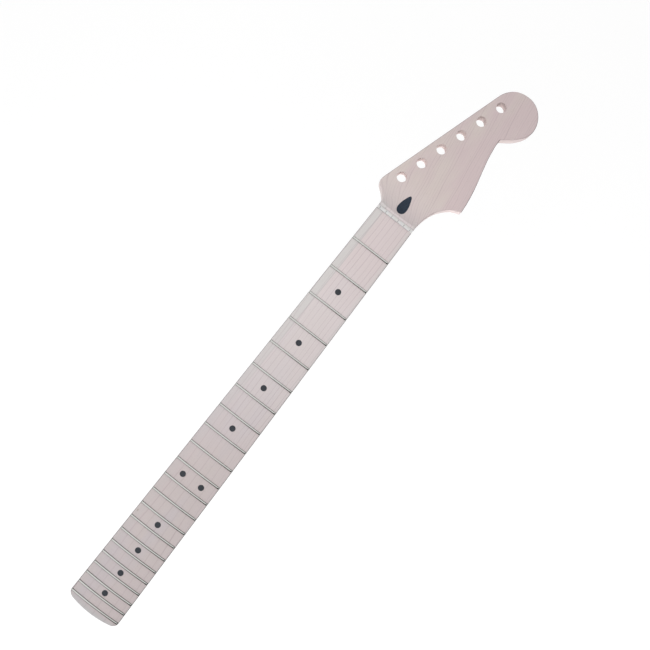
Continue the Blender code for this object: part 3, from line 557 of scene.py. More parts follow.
# Partly painted light: the headstock's sawn walls take a paler, pinker colour, partly their own end-grain colour and
# partly standing in for light from below and beside.
sawn_wall_painted_light = math_of(tree, "MULTIPLY", spread(tree, upward, 0.35, 0.15, 0.0, 0.8), head)
tone = tint(tree, sawn_wall_painted_light, tone, SAWN_PAINTED_LIGHT)
across_line = (math.sin(-line_turn), math.cos(line_turn), 0)
first_hole = (NUT_X + TUNER_FIRST[0], half_width(0) + TUNER_FIRST[1], 0)
from_line = node(tree, "VectorMath", {0: place, 1: first_hole}, operation="SUBTRACT").outputs[0]
from_line = node(tree, "VectorMath", {0: from_line, 1: across_line}, operation="DOT_PRODUCT").outputs["Value"]
# Painted light: the walls of the tuner holes are painted much paler, as if lit from below through the holes, and less
# so towards the headstock's tip.
painted_light_in_holes = spread(tree, math_of(tree, "ABSOLUTE", from_line), TUNER_HOLE / 2 + 0.6 * MM, TUNER_HOLE / 2 + 1.5 * MM, 1.0, 0.0)
painted_light_in_holes = math_of(tree, "MULTIPLY", painted_light_in_holes, spread(tree, axes[0], NUT_X + 0.030, NUT_X + 0.034, 0.0, 1.0))
painted_light_in_holes = math_of(tree, "MULTIPLY", painted_light_in_holes, spread(tree, axes[0], NUT_X + 0.090, NUT_X + 0.125, 1.0, 0.55))
tone = tint(tree, math_of(tree, "MULTIPLY", painted_light_in_holes, sawn_wall_painted_light), tone, (0.84, 0.72, 0.70, 1))
line = math_of(tree, "MULTIPLY", line, spread(tree, sawn_wall_painted_light, 0.0, 0.8, 1.0, 0.12))
line = math_of(tree, "MULTIPLY", line, spread(tree, head, 0.0, 1.0, 1.0, 0.75))
tone = tint(tree, line, tone, RING_DARK)
from_fleck = node(tree, "VectorMath", {0: place, 1: (NUT_X - 0.3682, 0.0239, 0.0)}, operation="SUBTRACT").outputs[0]
from_fleck = node(tree, "VectorMath", {0: from_fleck, 1: (650, 1500, 0)}, operation="MULTIPLY").outputs[0]
from_fleck = node(tree, "VectorMath", {0: from_fleck}, operation="LENGTH").outputs["Value"]
tone = tint(tree, spread(tree, from_fleck, 0.4, 1.2, 0.55, 0.0), tone, FLECK)
streaks = spread(tree, fibre, 0.3, 0.7, 0.975, 1.02)
pore = spread(tree, noise(tree, (240, 2600, 2600), 1.0), 0.68, 0.76, 0.0, 0.14)
grain_and_painted_shade = math_of(tree, "SUBTRACT", streaks, pore)
# Painted shade: the wood darkens towards the heel, standing in for light falling off away from the nut, and is also a
# little darker towards the headstock's tip and at the board's end.
grain_and_painted_shade = math_of(tree, "MULTIPLY", grain_and_painted_shade, spread(tree, heel, 0.0, 1.0, 1.0, 0.80))
grain_and_painted_shade = math_of(tree, "MULTIPLY", grain_and_painted_shade, spread(tree, axes[0], NUT_X + 0.02, NUT_X + 0.18, 1.0, 0.93))
grain_and_painted_shade = math_of(tree, "MULTIPLY", grain_and_painted_shade, spread(tree, axes[0], NUT_X - 0.38, NUT_X - 0.47, 1.0, 0.95))
# Painted shade: the rounded edges are darkened, strongly where they face away from the heel and faintly where they
# face it, but not at the tuner holes nor around the ramp.
painted_edge_shade = math_of(tree, "MULTIPLY", spread(tree, upward, 0.985, 0.7, 0.0, 0.55), spread(tree, upward, 0.0, 0.25, 0.0, 1.0))
painted_edge_shade = math_of(tree, "MULTIPLY", painted_edge_shade, spread(tree, facing[0], -0.45, -0.10, 0.12, 1.0))
painted_edge_shade = math_of(tree, "MULTIPLY", painted_edge_shade, spread(tree, painted_light_in_holes, 0.0, 0.5, 1.0, 0.0))
past_ramp = spread(tree, math_of(tree, "ABSOLUTE", math_of(tree, "SUBTRACT", axes[0], NUT_X + 0.016)), 0.010, 0.012, 0.0, 1.0)
grain_and_painted_shade = math_of(tree, "SUBTRACT", grain_and_painted_shade, math_of(tree, "MULTIPLY", painted_edge_shade, past_ramp))
# The wood is darker in a narrow band beside both faces of the nut.
from_nut = math_of(tree, "ABSOLUTE", math_of(tree, "SUBTRACT", axes[0], NUT_X + NUT_THICK / 2))
darker_beside_nut = spread(tree, from_nut, NUT_THICK / 2 + 0.4 * MM, NUT_THICK / 2 + 0.8 * MM, 0.10, 0.0)
grain_and_painted_shade = math_of(tree, "SUBTRACT", grain_and_painted_shade, darker_beside_nut)
tone = node(tree, "VectorMath", {0: tone, "Scale": grain_and_painted_shade}, operation="SCALE").outputs[0]
tree.links.new(tone, shader.inputs["Base Color"])
tree.links.new(spread(tree, fibre, 0.25, 0.75, 0.5, 0.68), shader.inputs["Roughness"])
relief = math_of(tree, "MULTIPLY_ADD", pore, -3.0, fibre)
feel(tree, shader, relief, 0.18, 0.1 * MM)
fit(neck, maple, "neck_body", "neck")

# The truss rod and its anchor
# A steel rod runs in a bowed channel and pulls against the strings. Its head end is screwed
# into a steel block at the bottom of a bore behind the string nut.
ROD = 5.0 * MM
ROD_LINE = 0.8 * MM
ROD_LOW_DEPTH = 15.9 * MM
ROD_LOW_ALONG = HEEL_END * 0.465
ROD_HEEL_DEPTH = 12.9 * MM
ROD_GAP = 0.3 * MM
CHANNEL_WIDTH = 6.4 * MM
CHANNEL_HEEL = HEEL_END + 57.0 * MM
CHANNEL_HEAD = -18.0 * MM
CHANNEL_STATION = 3.0 * MM
PLUG_BORE = 10.0 * MM
PLUG_MOUTH = 8.2 * MM
PLUG_TILT = math.radians(2.2)
PLUG_LENGTH = 34.0 * MM
ANCHOR_SEAT = -12.0 * MM


def bore_axis(along):
    """Height of the plug bore's middle, which climbs a little towards the headstock."""
    at_mouth = float(ramp_height(PLUG_MOUTH)) - PLUG_BORE / 2
    return at_mouth + (along - PLUG_MOUTH) * math.tan(PLUG_TILT)


def rod_height(along):
    """Height of the rod's middle: level at the heel, low in the middle, in line with the plug's bore."""
    head = bore_axis(CHANNEL_HEAD)
    heel = BLANK_THICK - ROD_HEEL_DEPTH
    low = BLANK_THICK - ROD_LOW_DEPTH
    if along >= CHANNEL_HEAD:
        return bore_axis(along)
    if along <= CHANNEL_HEEL:
        return heel
    if along < ROD_LOW_ALONG:
        return low + (heel - low) * smooth_step((ROD_LOW_ALONG - along) / (ROD_LOW_ALONG - CHANNEL_HEEL))
    run = CHANNEL_HEAD - ROD_LOW_ALONG
    t = (along - ROD_LOW_ALONG) / run
    slope = math.tan(PLUG_TILT) * run
    return low + (head - low) * t * t * (3 - 2 * t) + slope * t * t * (t - 1)


def channel_into(bm, width, above):
    """A slot with round ends under the rod, open at the back, up to a height above the rod's middle."""
    half = width / 2
    round_end = half * (1 - np.cos(np.linspace(0.1, math.pi / 2, 9)))
    straight = np.arange(CHANNEL_HEEL, CHANNEL_HEAD, CHANNEL_STATION)
    places = [*(CHANNEL_HEEL - half + round_end), *straight[1:], *(CHANNEL_HEAD + half - round_end[::-1])]
    rings = []
    for along in places:
        past = max(along - CHANNEL_HEAD, CHANNEL_HEEL - along, 0)
        side = math.sqrt(half**2 - past**2)
        roof = rod_height(along) + above
        rings.append([(along, ROD_LINE + y, z) for y, z in
                      ((side, -CUT_PAST), (-side, -CUT_PAST), (-side, roof), (side, roof))])
    loft_into(bm, rings)


def on_bore(along):
    return (along, ROD_LINE, bore_axis(along))


def on_heel_axis(along):
    return (along, ROD_LINE, BLANK_THICK - ROD_HEEL_DEPTH)


steel, tree, shader = new_material("turned_steel")
turning = noise(tree, (4200, 260, 260), 3.0)
blush = noise(tree, (70, 70, 70), 3.0)
tree.links.new(tint(tree, blush, (0.46, 0.45, 0.43, 1), (0.60, 0.60, 0.58, 1)), shader.inputs["Base Color"])
tree.links.new(spread(tree, turning, 0.3, 0.7, 0.2, 0.42), shader.inputs["Roughness"])
shader.inputs["Metallic"].default_value = 1.0
feel(tree, shader, turning, 0.25, 0.05 * MM)


def dress(name, finish):
    """Gives a solid its finish."""
    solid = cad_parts[name]
    solid.data.materials.clear()
    solid.data.materials.append(finish)


dress("truss_rod", steel)
dress("rod_anchor", steel)

# The back stripe
# A strip of dark wood is glued over the rod in the back of the neck and carved flush with it.
INLAY_GAP = 0.03 * MM
dark_wood, tree, shader = new_material("black_stained_wood")
fibre = noise(tree, (60, 1500, 1500), 4.0, 0.65)
pore = spread(tree, noise(tree, (120, 1500, 1500), 1.0, offset=(1.3, 0.4, 0.9)), 0.62, 0.72, 0.0, 1.0)
tone = tint(tree, spread(tree, fibre, 0.3, 0.7, 0.0, 1.0), (0.014, 0.023, 0.038, 1), (0.028, 0.043, 0.068, 1))
tone = tint(tree, pore, tone, (0.006, 0.007, 0.009, 1))
tree.links.new(tone, shader.inputs["Base Color"])
tree.links.new(spread(tree, fibre, 0.3, 0.7, 0.45, 0.65), shader.inputs["Roughness"])
shader.inputs["Specular IOR Level"].default_value = 0.25
feel(tree, shader, math_of(tree, "MULTIPLY_ADD", pore, -0.6, fibre), 0.2, 0.08 * MM)

strip = bmesh.new()
channel_into(strip, CHANNEL_WIDTH - 2 * INLAY_GAP, -ROD / 2 - ROD_GAP)
back_stripe = new_piece(strip, "dark_back_stripe")
shape(back_stripe, neck, "INTERSECT")
fit(back_stripe, dark_wood, "neck_body", "back_stripe")
channel = bmesh.new()
channel_into(channel, CHANNEL_WIDTH, ROD / 2 + ROD_GAP)
cut(neck, channel)

# The headstock plug
# A plug of the same dark wood closes the bore behind the string nut. It is glued in and cut off flush
# with the hollow ramp, which gives it its teardrop face.
PLUG_START = -3.8 * MM
plug = bmesh.new()
profile = [(0, PLUG_BORE / 2 - INLAY_GAP), (PLUG_LENGTH, PLUG_BORE / 2 - INLAY_GAP)]
turned_into(plug, profile, on_bore(PLUG_START), on_bore(0), 72)
headstock_plug = new_piece(plug, "dark_headstock_plug")
shape(headstock_plug, neck, "INTERSECT")
fit(headstock_plug, dark_wood, "neck_body", "headstock_plug")
bore = bmesh.new()
turned_into(bore, [(0, PLUG_BORE / 2), (54 * MM, PLUG_BORE / 2)], on_bore(ANCHOR_SEAT), on_bore(0), 72)
cut(neck, bore)
rod_way = bmesh.new()
way = ROD / 2 + ROD_GAP
turned_into(rod_way, [(0, way), (12 * MM, way)], on_bore(CHANNEL_HEAD - CHANNEL_WIDTH / 2), on_bore(0), 32)
cut(neck, rod_way)

# The frets
# Nickel-silver wire with a round crown, bent to the board's radius and pressed by its tang into sawn kerfs.
# The ends are filed to a bevel and rounded, and the crowns are polished.
CROWN_WIDTH = 2.35 * MM
CROWN_HEIGHT = 1.15 * MM
CROWN_STEPS = 22
CROWN_FULLNESS = 2.1
TANG_THICK = 0.5 * MM
TANG_DEPTH = 1.9 * MM
FRET_END_BEVEL = 1.0 * MM
FRET_END_HEIGHT = 0.3 * MM
FRET_END_ROUND = 0.45 * MM
FRET_INSET = 0.2 * MM
KERF = 0.56 * MM
KERF_DEPTH = 2.0 * MM
FRET_STEPS = 28
END_STEPS = 7


def fret_ring(along, y, half):
    """Crown and tang of a fret at one place across the board."""
    reach = min((half - abs(y)) / FRET_END_BEVEL, 1.0)
    height = FRET_END_HEIGHT + (CROWN_HEIGHT - FRET_END_HEIGHT) * math.sin(reach * math.pi / 2) ** 0.9
    corner = 1 - math.sqrt(1 - (1 - min((half - abs(y)) / FRET_END_ROUND, 1.0)) ** 2)
    width = CROWN_WIDTH / 2 - corner * FRET_END_ROUND
    seat = float(board_height(y)) - 0.02 * MM
    ring = []
    for step in range(CROWN_STEPS + 1):
        angle = math.pi * step / CROWN_STEPS
        out = math.copysign(abs(math.cos(angle)) ** (2 / CROWN_FULLNESS), math.cos(angle))
        ring.append((along + width * out, y, seat + height * math.sin(angle) ** (2 / CROWN_FULLNESS)))
    tang = TANG_THICK / 2
    floor = float(board_height(y)) - TANG_DEPTH
    ring += [(along - tang, y, seat), (along - tang, y, floor)]
    ring += [(along + tang, y, floor), (along + tang, y, seat)]
    return ring


fret_metal, tree, shader = new_material("polished_fret_wire")
rub = noise(tree, (2600, 90, 900), 3.0)
tarnish = noise(tree, (160, 60, 160), 3.0)
place = node(tree, "TexCoord", {}).outputs["Object"]
axes = node(tree, "SeparateXYZ", {0: place}).outputs
upward = node(tree, "SeparateXYZ", {0: node(tree, "NewGeometry", {}).outputs["Normal"]}).outputs[2]
# Painted shade: the steep foot of each crown is painted near-black, over more of the crown towards the heel.
more_painted_shade_to_heel = spread(tree, axes[0], NUT_X - 0.05, NUT_X - 0.42, 0.0, 0.30)
foot = spread(tree, math_of(tree, "SUBTRACT", upward, more_painted_shade_to_heel), 0.5, 0.25, 0.0, 0.85)
side = math_of(tree, "MULTIPLY_ADD", axes[0], TAPER, math_of(tree, "ABSOLUTE", axes[1]))
board_side = half_width(0) + TAPER * NUT_X
filed = spread(tree, side, board_side - 1.3 * MM, board_side - 0.9 * MM, 0.0, 1.0)
wire = tint(tree, tarnish, (0.58, 0.58, 0.555, 1), (0.66, 0.66, 0.64, 1))
tree.links.new(tint(tree, foot, wire, (0.08, 0.08, 0.08, 1)), shader.inputs["Base Color"])
dull = math_of(tree, "MAXIMUM", math_of(tree, "MULTIPLY", filed, 0.5), math_of(tree, "MULTIPLY", foot, 0.4))
polish = spread(tree, rub, 0.3, 0.7, 0.08, 0.18)
tree.links.new(math_of(tree, "MAXIMUM", polish, dull), shader.inputs["Roughness"])
shader.inputs["Metallic"].default_value = 1.0
feel(tree, shader, rub, 0.08, 0.02 * MM)

kerfs = bmesh.new()
for number in range(1, FRET_COUNT + 1):
    along = -fret_place(number)
    half = half_width(along) + CUT_PAST
    rings = []
    for y in np.linspace(-half, half, FRET_STEPS + 1):
        roof = BLANK_THICK + CUT_PAST
        floor = board_height(y) - KERF_DEPTH
        rings.append([(along + side * KERF / 2, y, z) for side, z in
                      ((1, roof), (-1, roof), (-1, floor), (1, floor))])
    loft_into(kerfs, rings)
cut(neck, kerfs)
for number in range(1, FRET_COUNT + 1):
    along = -fret_place(number)
    half = half_width(along) - FRET_INSET
    ends = FRET_END_BEVEL * (1 - np.cos(np.linspace(0.0, math.pi / 2, END_STEPS + 1)))
    middle = np.linspace(-half + FRET_END_BEVEL, half - FRET_END_BEVEL, FRET_STEPS + 1)[1:-1]
    wire = bmesh.new()
    loft_into(wire, [fret_ring(along, y, half) for y in (*(-half + ends), *middle, *(half - ends[::-1]))])
    fit(new_piece(wire, f"fret_wire_{number:02d}"), fret_metal, "neck_body", f"fret_{number:02d}")

# The face dots
# Discs of black plastic let into the face of the board between the frets, and sanded flush with it.
DOT = 6.0 * MM
DOT_DEPTH = 1.8 * MM
DOT_PAIR_SPREAD = 21.9 * MM
DOTTED_STEPS = (3, 5, 7, 9)
DOT_SIDES = 64
dot_black, tree, shader = new_material("marker_black")
scuff = noise(tree, (900, 900, 900), 3.0)
haze = noise(tree, (260, 260, 260), 2.0)
tree.links.new(tint(tree, haze, (0.011, 0.015, 0.021, 1), (0.028, 0.034, 0.045, 1)), shader.inputs["Base Color"])
tree.links.new(spread(tree, scuff, 0.3, 0.7, 0.28, 0.5), shader.inputs["Roughness"])
feel(tree, shader, scuff, 0.1, 0.02 * MM)

singles = []
pairs = []
for number in range(1, FRET_COUNT + 1):
    middle = -(fret_place(number) + fret_place(number - 1)) / 2
    if number % OCTAVE in DOTTED_STEPS:
        singles.append((f"{number:02d}", middle))
    if number % OCTAVE == 0:
        pairs.append((f"{number:02d}", middle))


def into_board(along, y, depth):
    """A point at a depth below the board's face, square to it."""
    lean = math.asin(y / BOARD_RADIUS)
    reach = BOARD_RADIUS - depth
    return (along, reach * math.sin(lean), BLANK_THICK - BOARD_RADIUS + reach * math.cos(lean))


dots = [(number, middle, 0.0) for number, middle in singles]
for number, middle in pairs:
    dots += [(number + "_bass", middle, DOT_PAIR_SPREAD / 2), (number + "_treble", middle, -DOT_PAIR_SPREAD / 2)]
pockets = bmesh.new()
for number, along, y in dots:
    start = into_board(along, y, DOT_DEPTH)
    outside = into_board(along, y, -CUT_PAST)
    pocket = DOT / 2 + INLAY_GAP
    turned_into(pockets, [(-INLAY_GAP, pocket), (DOT_DEPTH + CUT_PAST, pocket)], start, outside, DOT_SIDES)
    disc = bmesh.new()
    crown = 0.01 * MM
    edge = 0.06 * MM
    profile = [(0, DOT / 2), (DOT_DEPTH - crown - edge, DOT / 2), (DOT_DEPTH - crown - edge / 3, DOT / 2 - edge / 3)]
    profile += [(DOT_DEPTH - crown, share * DOT / 2 - edge) for share in (1, 0.8, 0.5, 0.2)]
    turned_into(disc, profile, start, outside, DOT_SIDES)
    fit(new_piece(disc, f"black_dot_{number}"), dot_black, "neck_body", f"dot_{number}")
cut(neck, pockets)

# The side dots
# Thin black rods let into the tuner side of the board, where the player looks down on them.
SIDE_DOT = 2.0 * MM
SIDE_DOT_DEPTH = 3.0 * MM
SIDE_DOT_DROP = 2.6 * MM
SIDE_PAIR_SPREAD = 7.0 * MM
SIDE_DOT_SIDES = 32


def into_side(along, depth):
    """A point at a depth inside the board's tuner side, square to it."""
    half = half_width(along)
    turn = math.atan(TAPER)
    height = float(board_height(half)) - SIDE_DOT_DROP
    return (along - depth * math.sin(turn), half - depth * math.cos(turn), height)


side_dots = list(singles)
for number, middle in pairs:
    side_dots += [(number + "_heel", middle - SIDE_PAIR_SPREAD / 2), (number + "_head", middle + SIDE_PAIR_SPREAD / 2)]
pockets = bmesh.new()
for number, along in side_dots:
    start = into_side(along, SIDE_DOT_DEPTH)
    outside = into_side(along, -CUT_PAST)
    pocket = SIDE_DOT / 2 + INLAY_GAP
    turned_into(pockets, [(-INLAY_GAP, pocket), (SIDE_DOT_DEPTH + CUT_PAST, pocket)], start, outside, SIDE_DOT_SIDES)
    rod = bmesh.new()
    edge = 0.04 * MM
    profile = [(0, SIDE_DOT / 2), (SIDE_DOT_DEPTH - 2 * edge, SIDE_DOT / 2), (SIDE_DOT_DEPTH - edge, SIDE_DOT / 2 - edge)]
    profile += [(SIDE_DOT_DEPTH - edge, 0.1 * SIDE_DOT)]
    turned_into(rod, profile, start, outside, SIDE_DOT_SIDES)
    fit(new_piece(rod, f"black_side_dot_{number}"), dot_black, "neck_body", f"side_dot_{number}")
cut(neck, pockets)

# The string nut
# A strip of bone glued into a slot across the end of the board. Its top is crowned to the board's radius,
# falls away towards the headstock, and has a filed groove for each of the six strings.
NUT_RISE = 1.88 * MM
NUT_CREST = 1.1 * MM
NUT_CREST_FALL = 0.23 * MM
NUT_FALL = 0.7 * MM
NUT_SEAT_DEPTH = 3.2 * MM
NUT_STEPS = 60
NUT_EASE = 0.3 * MM
NUT_STRING_SPREAD = 35.7 * MM
NUT_GROOVE = 0.7 * MM
NUT_GROOVE_DEPTH = 0.6 * MM
STRING_COUNT = 6
NUT_FLOOR = float(board_height(half_width(0))) - NUT_SEAT_DEPTH


def nut_ring(y, half):
    """The nut's outline at one place across it: upright in front, crowned, and falling away behind."""
    crest = float(board_height(y)) + NUT_RISE
    inset = float(rounding_drop(half - abs(y), NUT_EASE))
    back = NUT_THICK - inset
    ring = [(inset, NUT_FLOOR), (inset, crest - NUT_CREST_FALL - NUT_EASE)]
    for step in range(1, 6):
        angle = math.pi / 2 * step / 6
        ring.append((inset + NUT_CREST * (1 - math.cos(angle)), crest - (NUT_CREST_FALL + NUT_EASE) * (1 - math.sin(angle))))
    for step in range(6):
        share = step / 6
        ring.append((NUT_CREST + share * (back - NUT_EASE - NUT_CREST), crest - NUT_FALL * share**1.4))
    for step in range(5):
        angle = math.pi / 2 * step / 4
        ring.append((back - NUT_EASE * (1 - math.sin(angle)), crest - NUT_FALL - NUT_EASE * (1 - math.cos(angle))))
    ring.append((back, NUT_FLOOR))
    return [(along, y, z - (inset if z > NUT_FLOOR else 0)) for along, z in ring]


bone, tree, shader = new_material("polished_bone")
grain = noise(tree, (1300, 160, 1300), 4.0, 0.6)
blush = noise(tree, (130, 90, 130), 2.0)
tone = tint(tree, blush, (0.66, 0.645, 0.637, 1), (0.75, 0.735, 0.727, 1))
canal = spread(tree, noise(tree, (3000, 330, 3000), 1.0), 0.66, 0.74, 0.0, 0.35)
tone = tint(tree, canal, tone, (0.50, 0.47, 0.40, 1))
place = node(tree, "TexCoord", {}).outputs["Object"]
axes = node(tree, "SeparateXYZ", {0: place}).outputs
# Partly painted shade: each string groove gets a dark strip, for graphite rubbed into it and for the shade that falls
# in the groove.
from_bass = math_of(tree, "ADD", axes[1], NUT_STRING_SPREAD / 2)
from_string = math_of(tree, "PINGPONG", from_bass, NUT_STRING_SPREAD / (STRING_COUNT - 1) / 2)
graphite_and_groove_shade = spread(tree, from_string, 0.15 * MM, 0.40 * MM, 0.6, 0.0, "SMOOTHSTEP")
graphite_and_groove_shade = math_of(tree, "MULTIPLY", graphite_and_groove_shade, spread(tree, axes[0], NUT_X + 2.0 * MM, NUT_X + 2.9 * MM, 1.0, 0.0))
graphite_and_groove_shade = math_of(tree, "MULTIPLY", graphite_and_groove_shade, spread(tree, axes[0], NUT_X + 0.2 * MM, NUT_X + 0.9 * MM, 0.2, 1.0))
graphite_and_groove_shade = math_of(tree, "MULTIPLY", graphite_and_groove_shade, spread(tree, axes[2], BLANK_THICK - 0.4 * MM, BLANK_THICK + 0.4 * MM, 0.0, 1.0))
tone = tint(tree, graphite_and_groove_shade, tone, (0.10, 0.10, 0.11, 1))
tree.links.new(tone, shader.inputs["Base Color"])
tree.links.new(spread(tree, grain, 0.3, 0.7, 0.25, 0.42), shader.inputs["Roughness"])
shader.inputs["Subsurface Weight"].default_value = 0.12
shader.inputs["Subsurface Radius"].default_value = (1.2 * MM, 0.9 * MM, 0.6 * MM)
shader.inputs["Subsurface Scale"].default_value = 1.0
feel(tree, shader, grain, 0.08, 0.03 * MM)

seat = bmesh.new()
gap = INLAY_GAP / 2
wide = half_width(0) + CUT_PAST
low = NUT_FLOOR - INLAY_GAP
roof = BLANK_THICK + CUT_PAST
loft_into(seat, [[(-gap, y, low), (NUT_THICK + gap, y, low), (NUT_THICK + gap, y, roof), (-gap, y, roof)]
                 for y in (-wide, wide)])
cut(neck, seat)
seat = bmesh.new()
loft_into(seat, [[(-gap, y, low), (NUT_THICK + gap, y, low), (NUT_THICK + gap, y, roof), (-gap, y, roof)]
                 for y in (-wide, wide)])
cut(headstock_plug, seat)
half = half_width(NUT_THICK) - INLAY_GAP
ends = NUT_EASE * (1 - np.cos(np.linspace(0, math.pi / 2, 5)))
strip = bmesh.new()
middle = np.linspace(-half + NUT_EASE, half - NUT_EASE, NUT_STEPS + 1)[1:-1]
loft_into(strip, [nut_ring(y, half) for y in (*(-half + ends), *middle, *(half - ends[::-1]))])
string_nut = new_piece(strip, "bone_string_nut")
grooves = bmesh.new()
for y in np.linspace(-NUT_STRING_SPREAD / 2, NUT_STRING_SPREAD / 2, STRING_COUNT):
    middle = float(board_height(y)) + NUT_RISE - NUT_GROOVE_DEPTH + NUT_GROOVE / 2
    front = (-CUT_PAST, y, middle + NUT_FALL / 2)
    back = (NUT_THICK + CUT_PAST, y, middle - NUT_FALL)
    turned_into(grooves, [(0, NUT_GROOVE / 2), (NUT_THICK + 2 * CUT_PAST, NUT_GROOVE / 2)], front, back, 24)
cut(string_nut, grooves)
fit(string_nut, bone, "neck_body", "string_nut")

# The washer and the adjusting nut
# A round steel nut in a pocket at the heel pulls on the rod through a washer. It has a crossed slot
# for a screwdriver, and backs off towards the heel's end as it is slackened.
ROD_NUT = 9.0 * MM
ROD_NUT_LENGTH = 12.0 * MM
ROD_NUT_POCKET = 10.0 * MM
ROD_NUT_SET_BACK = 2.5 * MM
ROD_NUT_SLOT = 1.3 * MM
ROD_NUT_SLOT_DEPTH = 2.5 * MM
THREAD = 0.8 * MM
THREAD_DEPTH = 0.25 * MM
RUNNING_GAP = 0.05 * MM
SEAT_GAP = 0.1 * MM
WASHER_THICK = 1.2 * MM
NUT_CHAMFER = 0.5 * MM
ROD_NUT_SEAT = HEEL_END + ROD_NUT_SET_BACK + ROD_NUT_LENGTH + WASHER_THICK + 2 * SEAT_GAP

pocket = bmesh.new()
mouth = ROD_NUT_POCKET / 2
flare = mouth + HOLE_EASE
length = HEEL_END - END
profile = [(-HOLE_EASE, 0)]
pocket_start = on_heel_axis(ROD_NUT_SEAT)
turned_into(pocket, [(0, mouth), (ROD_NUT_SEAT + END + CUT_PAST, mouth)], pocket_start, on_heel_axis(-END), 64)
cut(neck, pocket)
rod_way = bmesh.new()
run = CHANNEL_HEEL + CUT_PAST - ROD_NUT_SEAT
turned_into(rod_way, [(-CUT_PAST, way), (run, way)], on_heel_axis(ROD_NUT_SEAT), on_heel_axis(0), 32)
cut(neck, rod_way)

washer_start = on_heel_axis(ROD_NUT_SEAT - SEAT_GAP - WASHER_THICK)
inner = ROD / 2 + ROD_GAP
outer = ROD_NUT / 2
edge = 0.15 * MM
washer = bmesh.new()
profile = [(0, inner), (0, outer - edge), (edge, outer), (WASHER_THICK - edge, outer)]
profile += [(WASHER_THICK, outer - edge), (WASHER_THICK, inner)]
turned_into(washer, profile, washer_start, on_heel_axis(0), 64, closed=True)
fit(new_piece(washer, "steel_washer"), steel, "washer_body", "rod_washer")

adjuster = bmesh.new()
thread = ROD / 2 + RUNNING_GAP
profile = [(0, thread + THREAD_DEPTH), (0, outer - NUT_CHAMFER), (NUT_CHAMFER, outer)]
profile += [(ROD_NUT_LENGTH - edge, outer), (ROD_NUT_LENGTH, outer - edge), (ROD_NUT_LENGTH, thread + THREAD_DEPTH)]
turn_count = int((ROD_NUT_LENGTH - THREAD) / THREAD)
for turn in range(turn_count, 0, -1):
    profile += [((turn + 0.5) * THREAD, thread), (turn * THREAD, thread + THREAD_DEPTH)]
adjuster_start = on_heel_axis(ROD_NUT_SEAT - 2 * SEAT_GAP - WASHER_THICK - ROD_NUT_LENGTH)
turned_into(adjuster, profile, adjuster_start, on_heel_axis(0), 64, closed=True)
rod_nut = new_piece(adjuster, "slotted_rod_nut")
for half_y, half_z in ((ROD_NUT, ROD_NUT_SLOT / 2), (ROD_NUT_SLOT / 2, ROD_NUT)):
    slot = bmesh.new()
    middle = Vector(adjuster_start)
    corners = ((-half_y, -half_z), (half_y, -half_z), (half_y, half_z), (-half_y, half_z))
    loft_into(slot, [[middle + Vector((x, y, z)) for y, z in corners] for x in (-CUT_PAST, ROD_NUT_SLOT_DEPTH)])
    cut(rod_nut, slot)
fit(rod_nut, steel, "nut_body", "rod_nut")

# The table, the lamps and the camera
# The neck hangs level above a plain white table, so that light comes up through its holes. White cloth lights
# it from all sides but one, where the studio is dark. One lamp hangs above it and one stands low beside it.
PICTURE = 650
FOCAL_PIXELS = 765.04
FRAME_SHIFT = (-9.7, 0.8)
CAMERA_PLACE = (-114.2 * MM, -17.05 * MM, 754.15 * MM)
NECK_RISE = math.radians(52.23)
TABLE_DROP = 450.0 * MM
DARK_SIDE = 298.0
camera_data = bpy.data.cameras.new("camera")
camera_data.sensor_width = 36.0
camera_data.lens = camera_data.sensor_width * FOCAL_PIXELS / PICTURE
camera_data.shift_x = FRAME_SHIFT[0] / PICTURE
camera_data.shift_y = FRAME_SHIFT[1] / PICTURE
camera = bpy.data.objects.new("camera", camera_data)
camera.location = (NUT_X + CAMERA_PLACE[0], CAMERA_PLACE[1], CAMERA_PLACE[2])
camera.rotation_euler = (0, 0, -NECK_RISE)
bpy.context.scene.collection.objects.link(camera)
bpy.context.scene.camera = camera
bpy.context.scene.view_settings.view_transform = "Standard"


def picture_heading(degrees):
    """A level direction, turned anticlockwise from the picture's right."""
    return Matrix.Rotation(math.radians(degrees) - NECK_RISE, 3, "Z") @ Vector((1, 0, 0))


world = bpy.data.worlds.new("white_cloth")
bpy.context.scene.world = world
world.use_nodes = True
tree = world.node_tree
background = tree.nodes["Background"]
background.inputs["Color"].default_value = (1, 1, 1, 1)
direction = node(tree, "TexCoord", {}).outputs["Generated"]
dark_side = picture_heading(DARK_SIDE)
towards_dark = node(tree, "VectorMath", {0: direction, 1: dark_side}, operation="DOT_PRODUCT").outputs["Value"]
cloth = spread(tree, towards_dark, 0.20, 0.40, 1.0, 0.05, "SMOOTHSTEP")
height = node(tree, "SeparateXYZ", {0: direction}).outputs[2]
cloth = math_of(tree, "MULTIPLY", cloth, spread(tree, height, 0.0, 0.45, 0.12, 1.0))
cloth = math_of(tree, "MAXIMUM", cloth, node(tree, "LightPath", {}).outputs["Is Camera Ray"])
tree.links.new(cloth, background.inputs["Strength"])

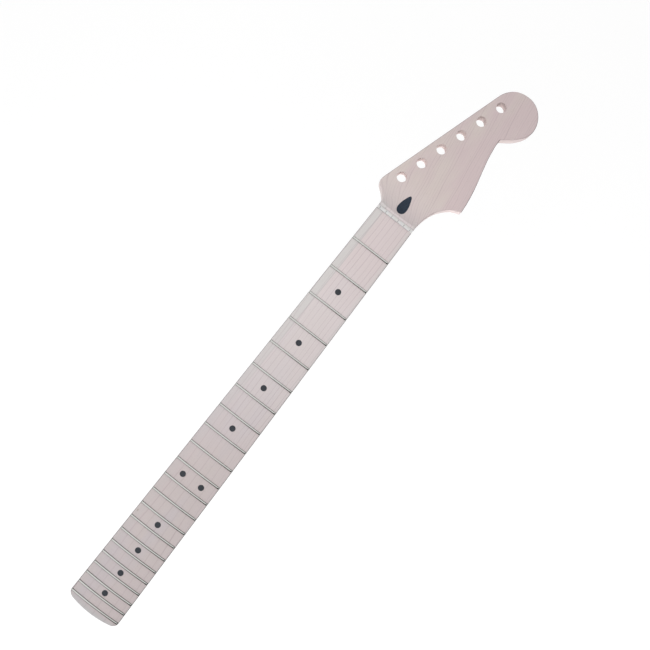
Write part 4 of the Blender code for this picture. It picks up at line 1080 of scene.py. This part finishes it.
middle = Vector((camera.location.x, camera.location.y, 0))
for name, turn, away, aim, height, size, watts in (
        ("upper_lamp", 250.0, 0.5, 0.0, 1.2, (1.4, 1.0), 7.9),
        ("low_lamp", 262.0, 1.2, 0.0, -0.2, (1.4, 0.3), 11.0),
        ("table_lamp", 232.0, 0.5, 0.49, 10 * MM - TABLE_DROP, (1.2, 1.0), 3.4)):
    lamp_data = bpy.data.lights.new(name, "AREA")
    lamp_data.shape = "RECTANGLE"
    lamp_data.size = size[0]
    lamp_data.size_y = size[1]
    lamp_data.energy = watts
    lamp = bpy.data.objects.new(name, lamp_data)
    lamp.location = middle + away * picture_heading(turn) + Vector((0, 0, height))
    target = middle + aim * picture_heading(turn)
    lamp.rotation_euler = (target - lamp.location).to_track_quat("-Z", "Y").to_euler()
    lamp.visible_glossy = False
    bpy.context.scene.collection.objects.link(lamp)

table_white, tree, shader = new_material("table_white")
path = node(tree, "LightPath", {}).outputs
bright_ray = math_of(tree, "MAXIMUM", path["Is Glossy Ray"], path["Is Transmission Ray"])
seen = math_of(tree, "MAXIMUM", path["Is Camera Ray"], bright_ray)
diffuse = node(tree, "BsdfDiffuse", {"Color": (0.9, 0.9, 0.9, 1)}).outputs[0]
pale_diffuse = node(tree, "BsdfDiffuse", {"Color": (0.3, 0.3, 0.3, 1)}).outputs[0]
glow = node(tree, "Emission", {"Color": (1, 1, 1, 1), "Strength": 0.73}).outputs[0]
lit = node(tree, "AddShader", {0: pale_diffuse, 1: glow}).outputs[0]
pale = node(tree, "MixShader", {0: seen, 1: diffuse, 2: lit}).outputs[0]
beneath = node(tree, "NewGeometry", {}).outputs["Backfacing"]
clear = node(tree, "BsdfTransparent", {}).outputs[0]
pale = node(tree, "MixShader", {0: beneath, 1: pale, 2: clear}).outputs[0]
tree.links.new(pale, tree.nodes["Material Output"].inputs["Surface"])
top = bmesh.new()
top.faces.new([top.verts.new((x, y, -TABLE_DROP)) for x, y in ((-3, -3), (3, -3), (3, 3), (-3, 3))])
table = new_piece(top, "table")
table.data.flip_normals()
table.data.materials.append(table_white)
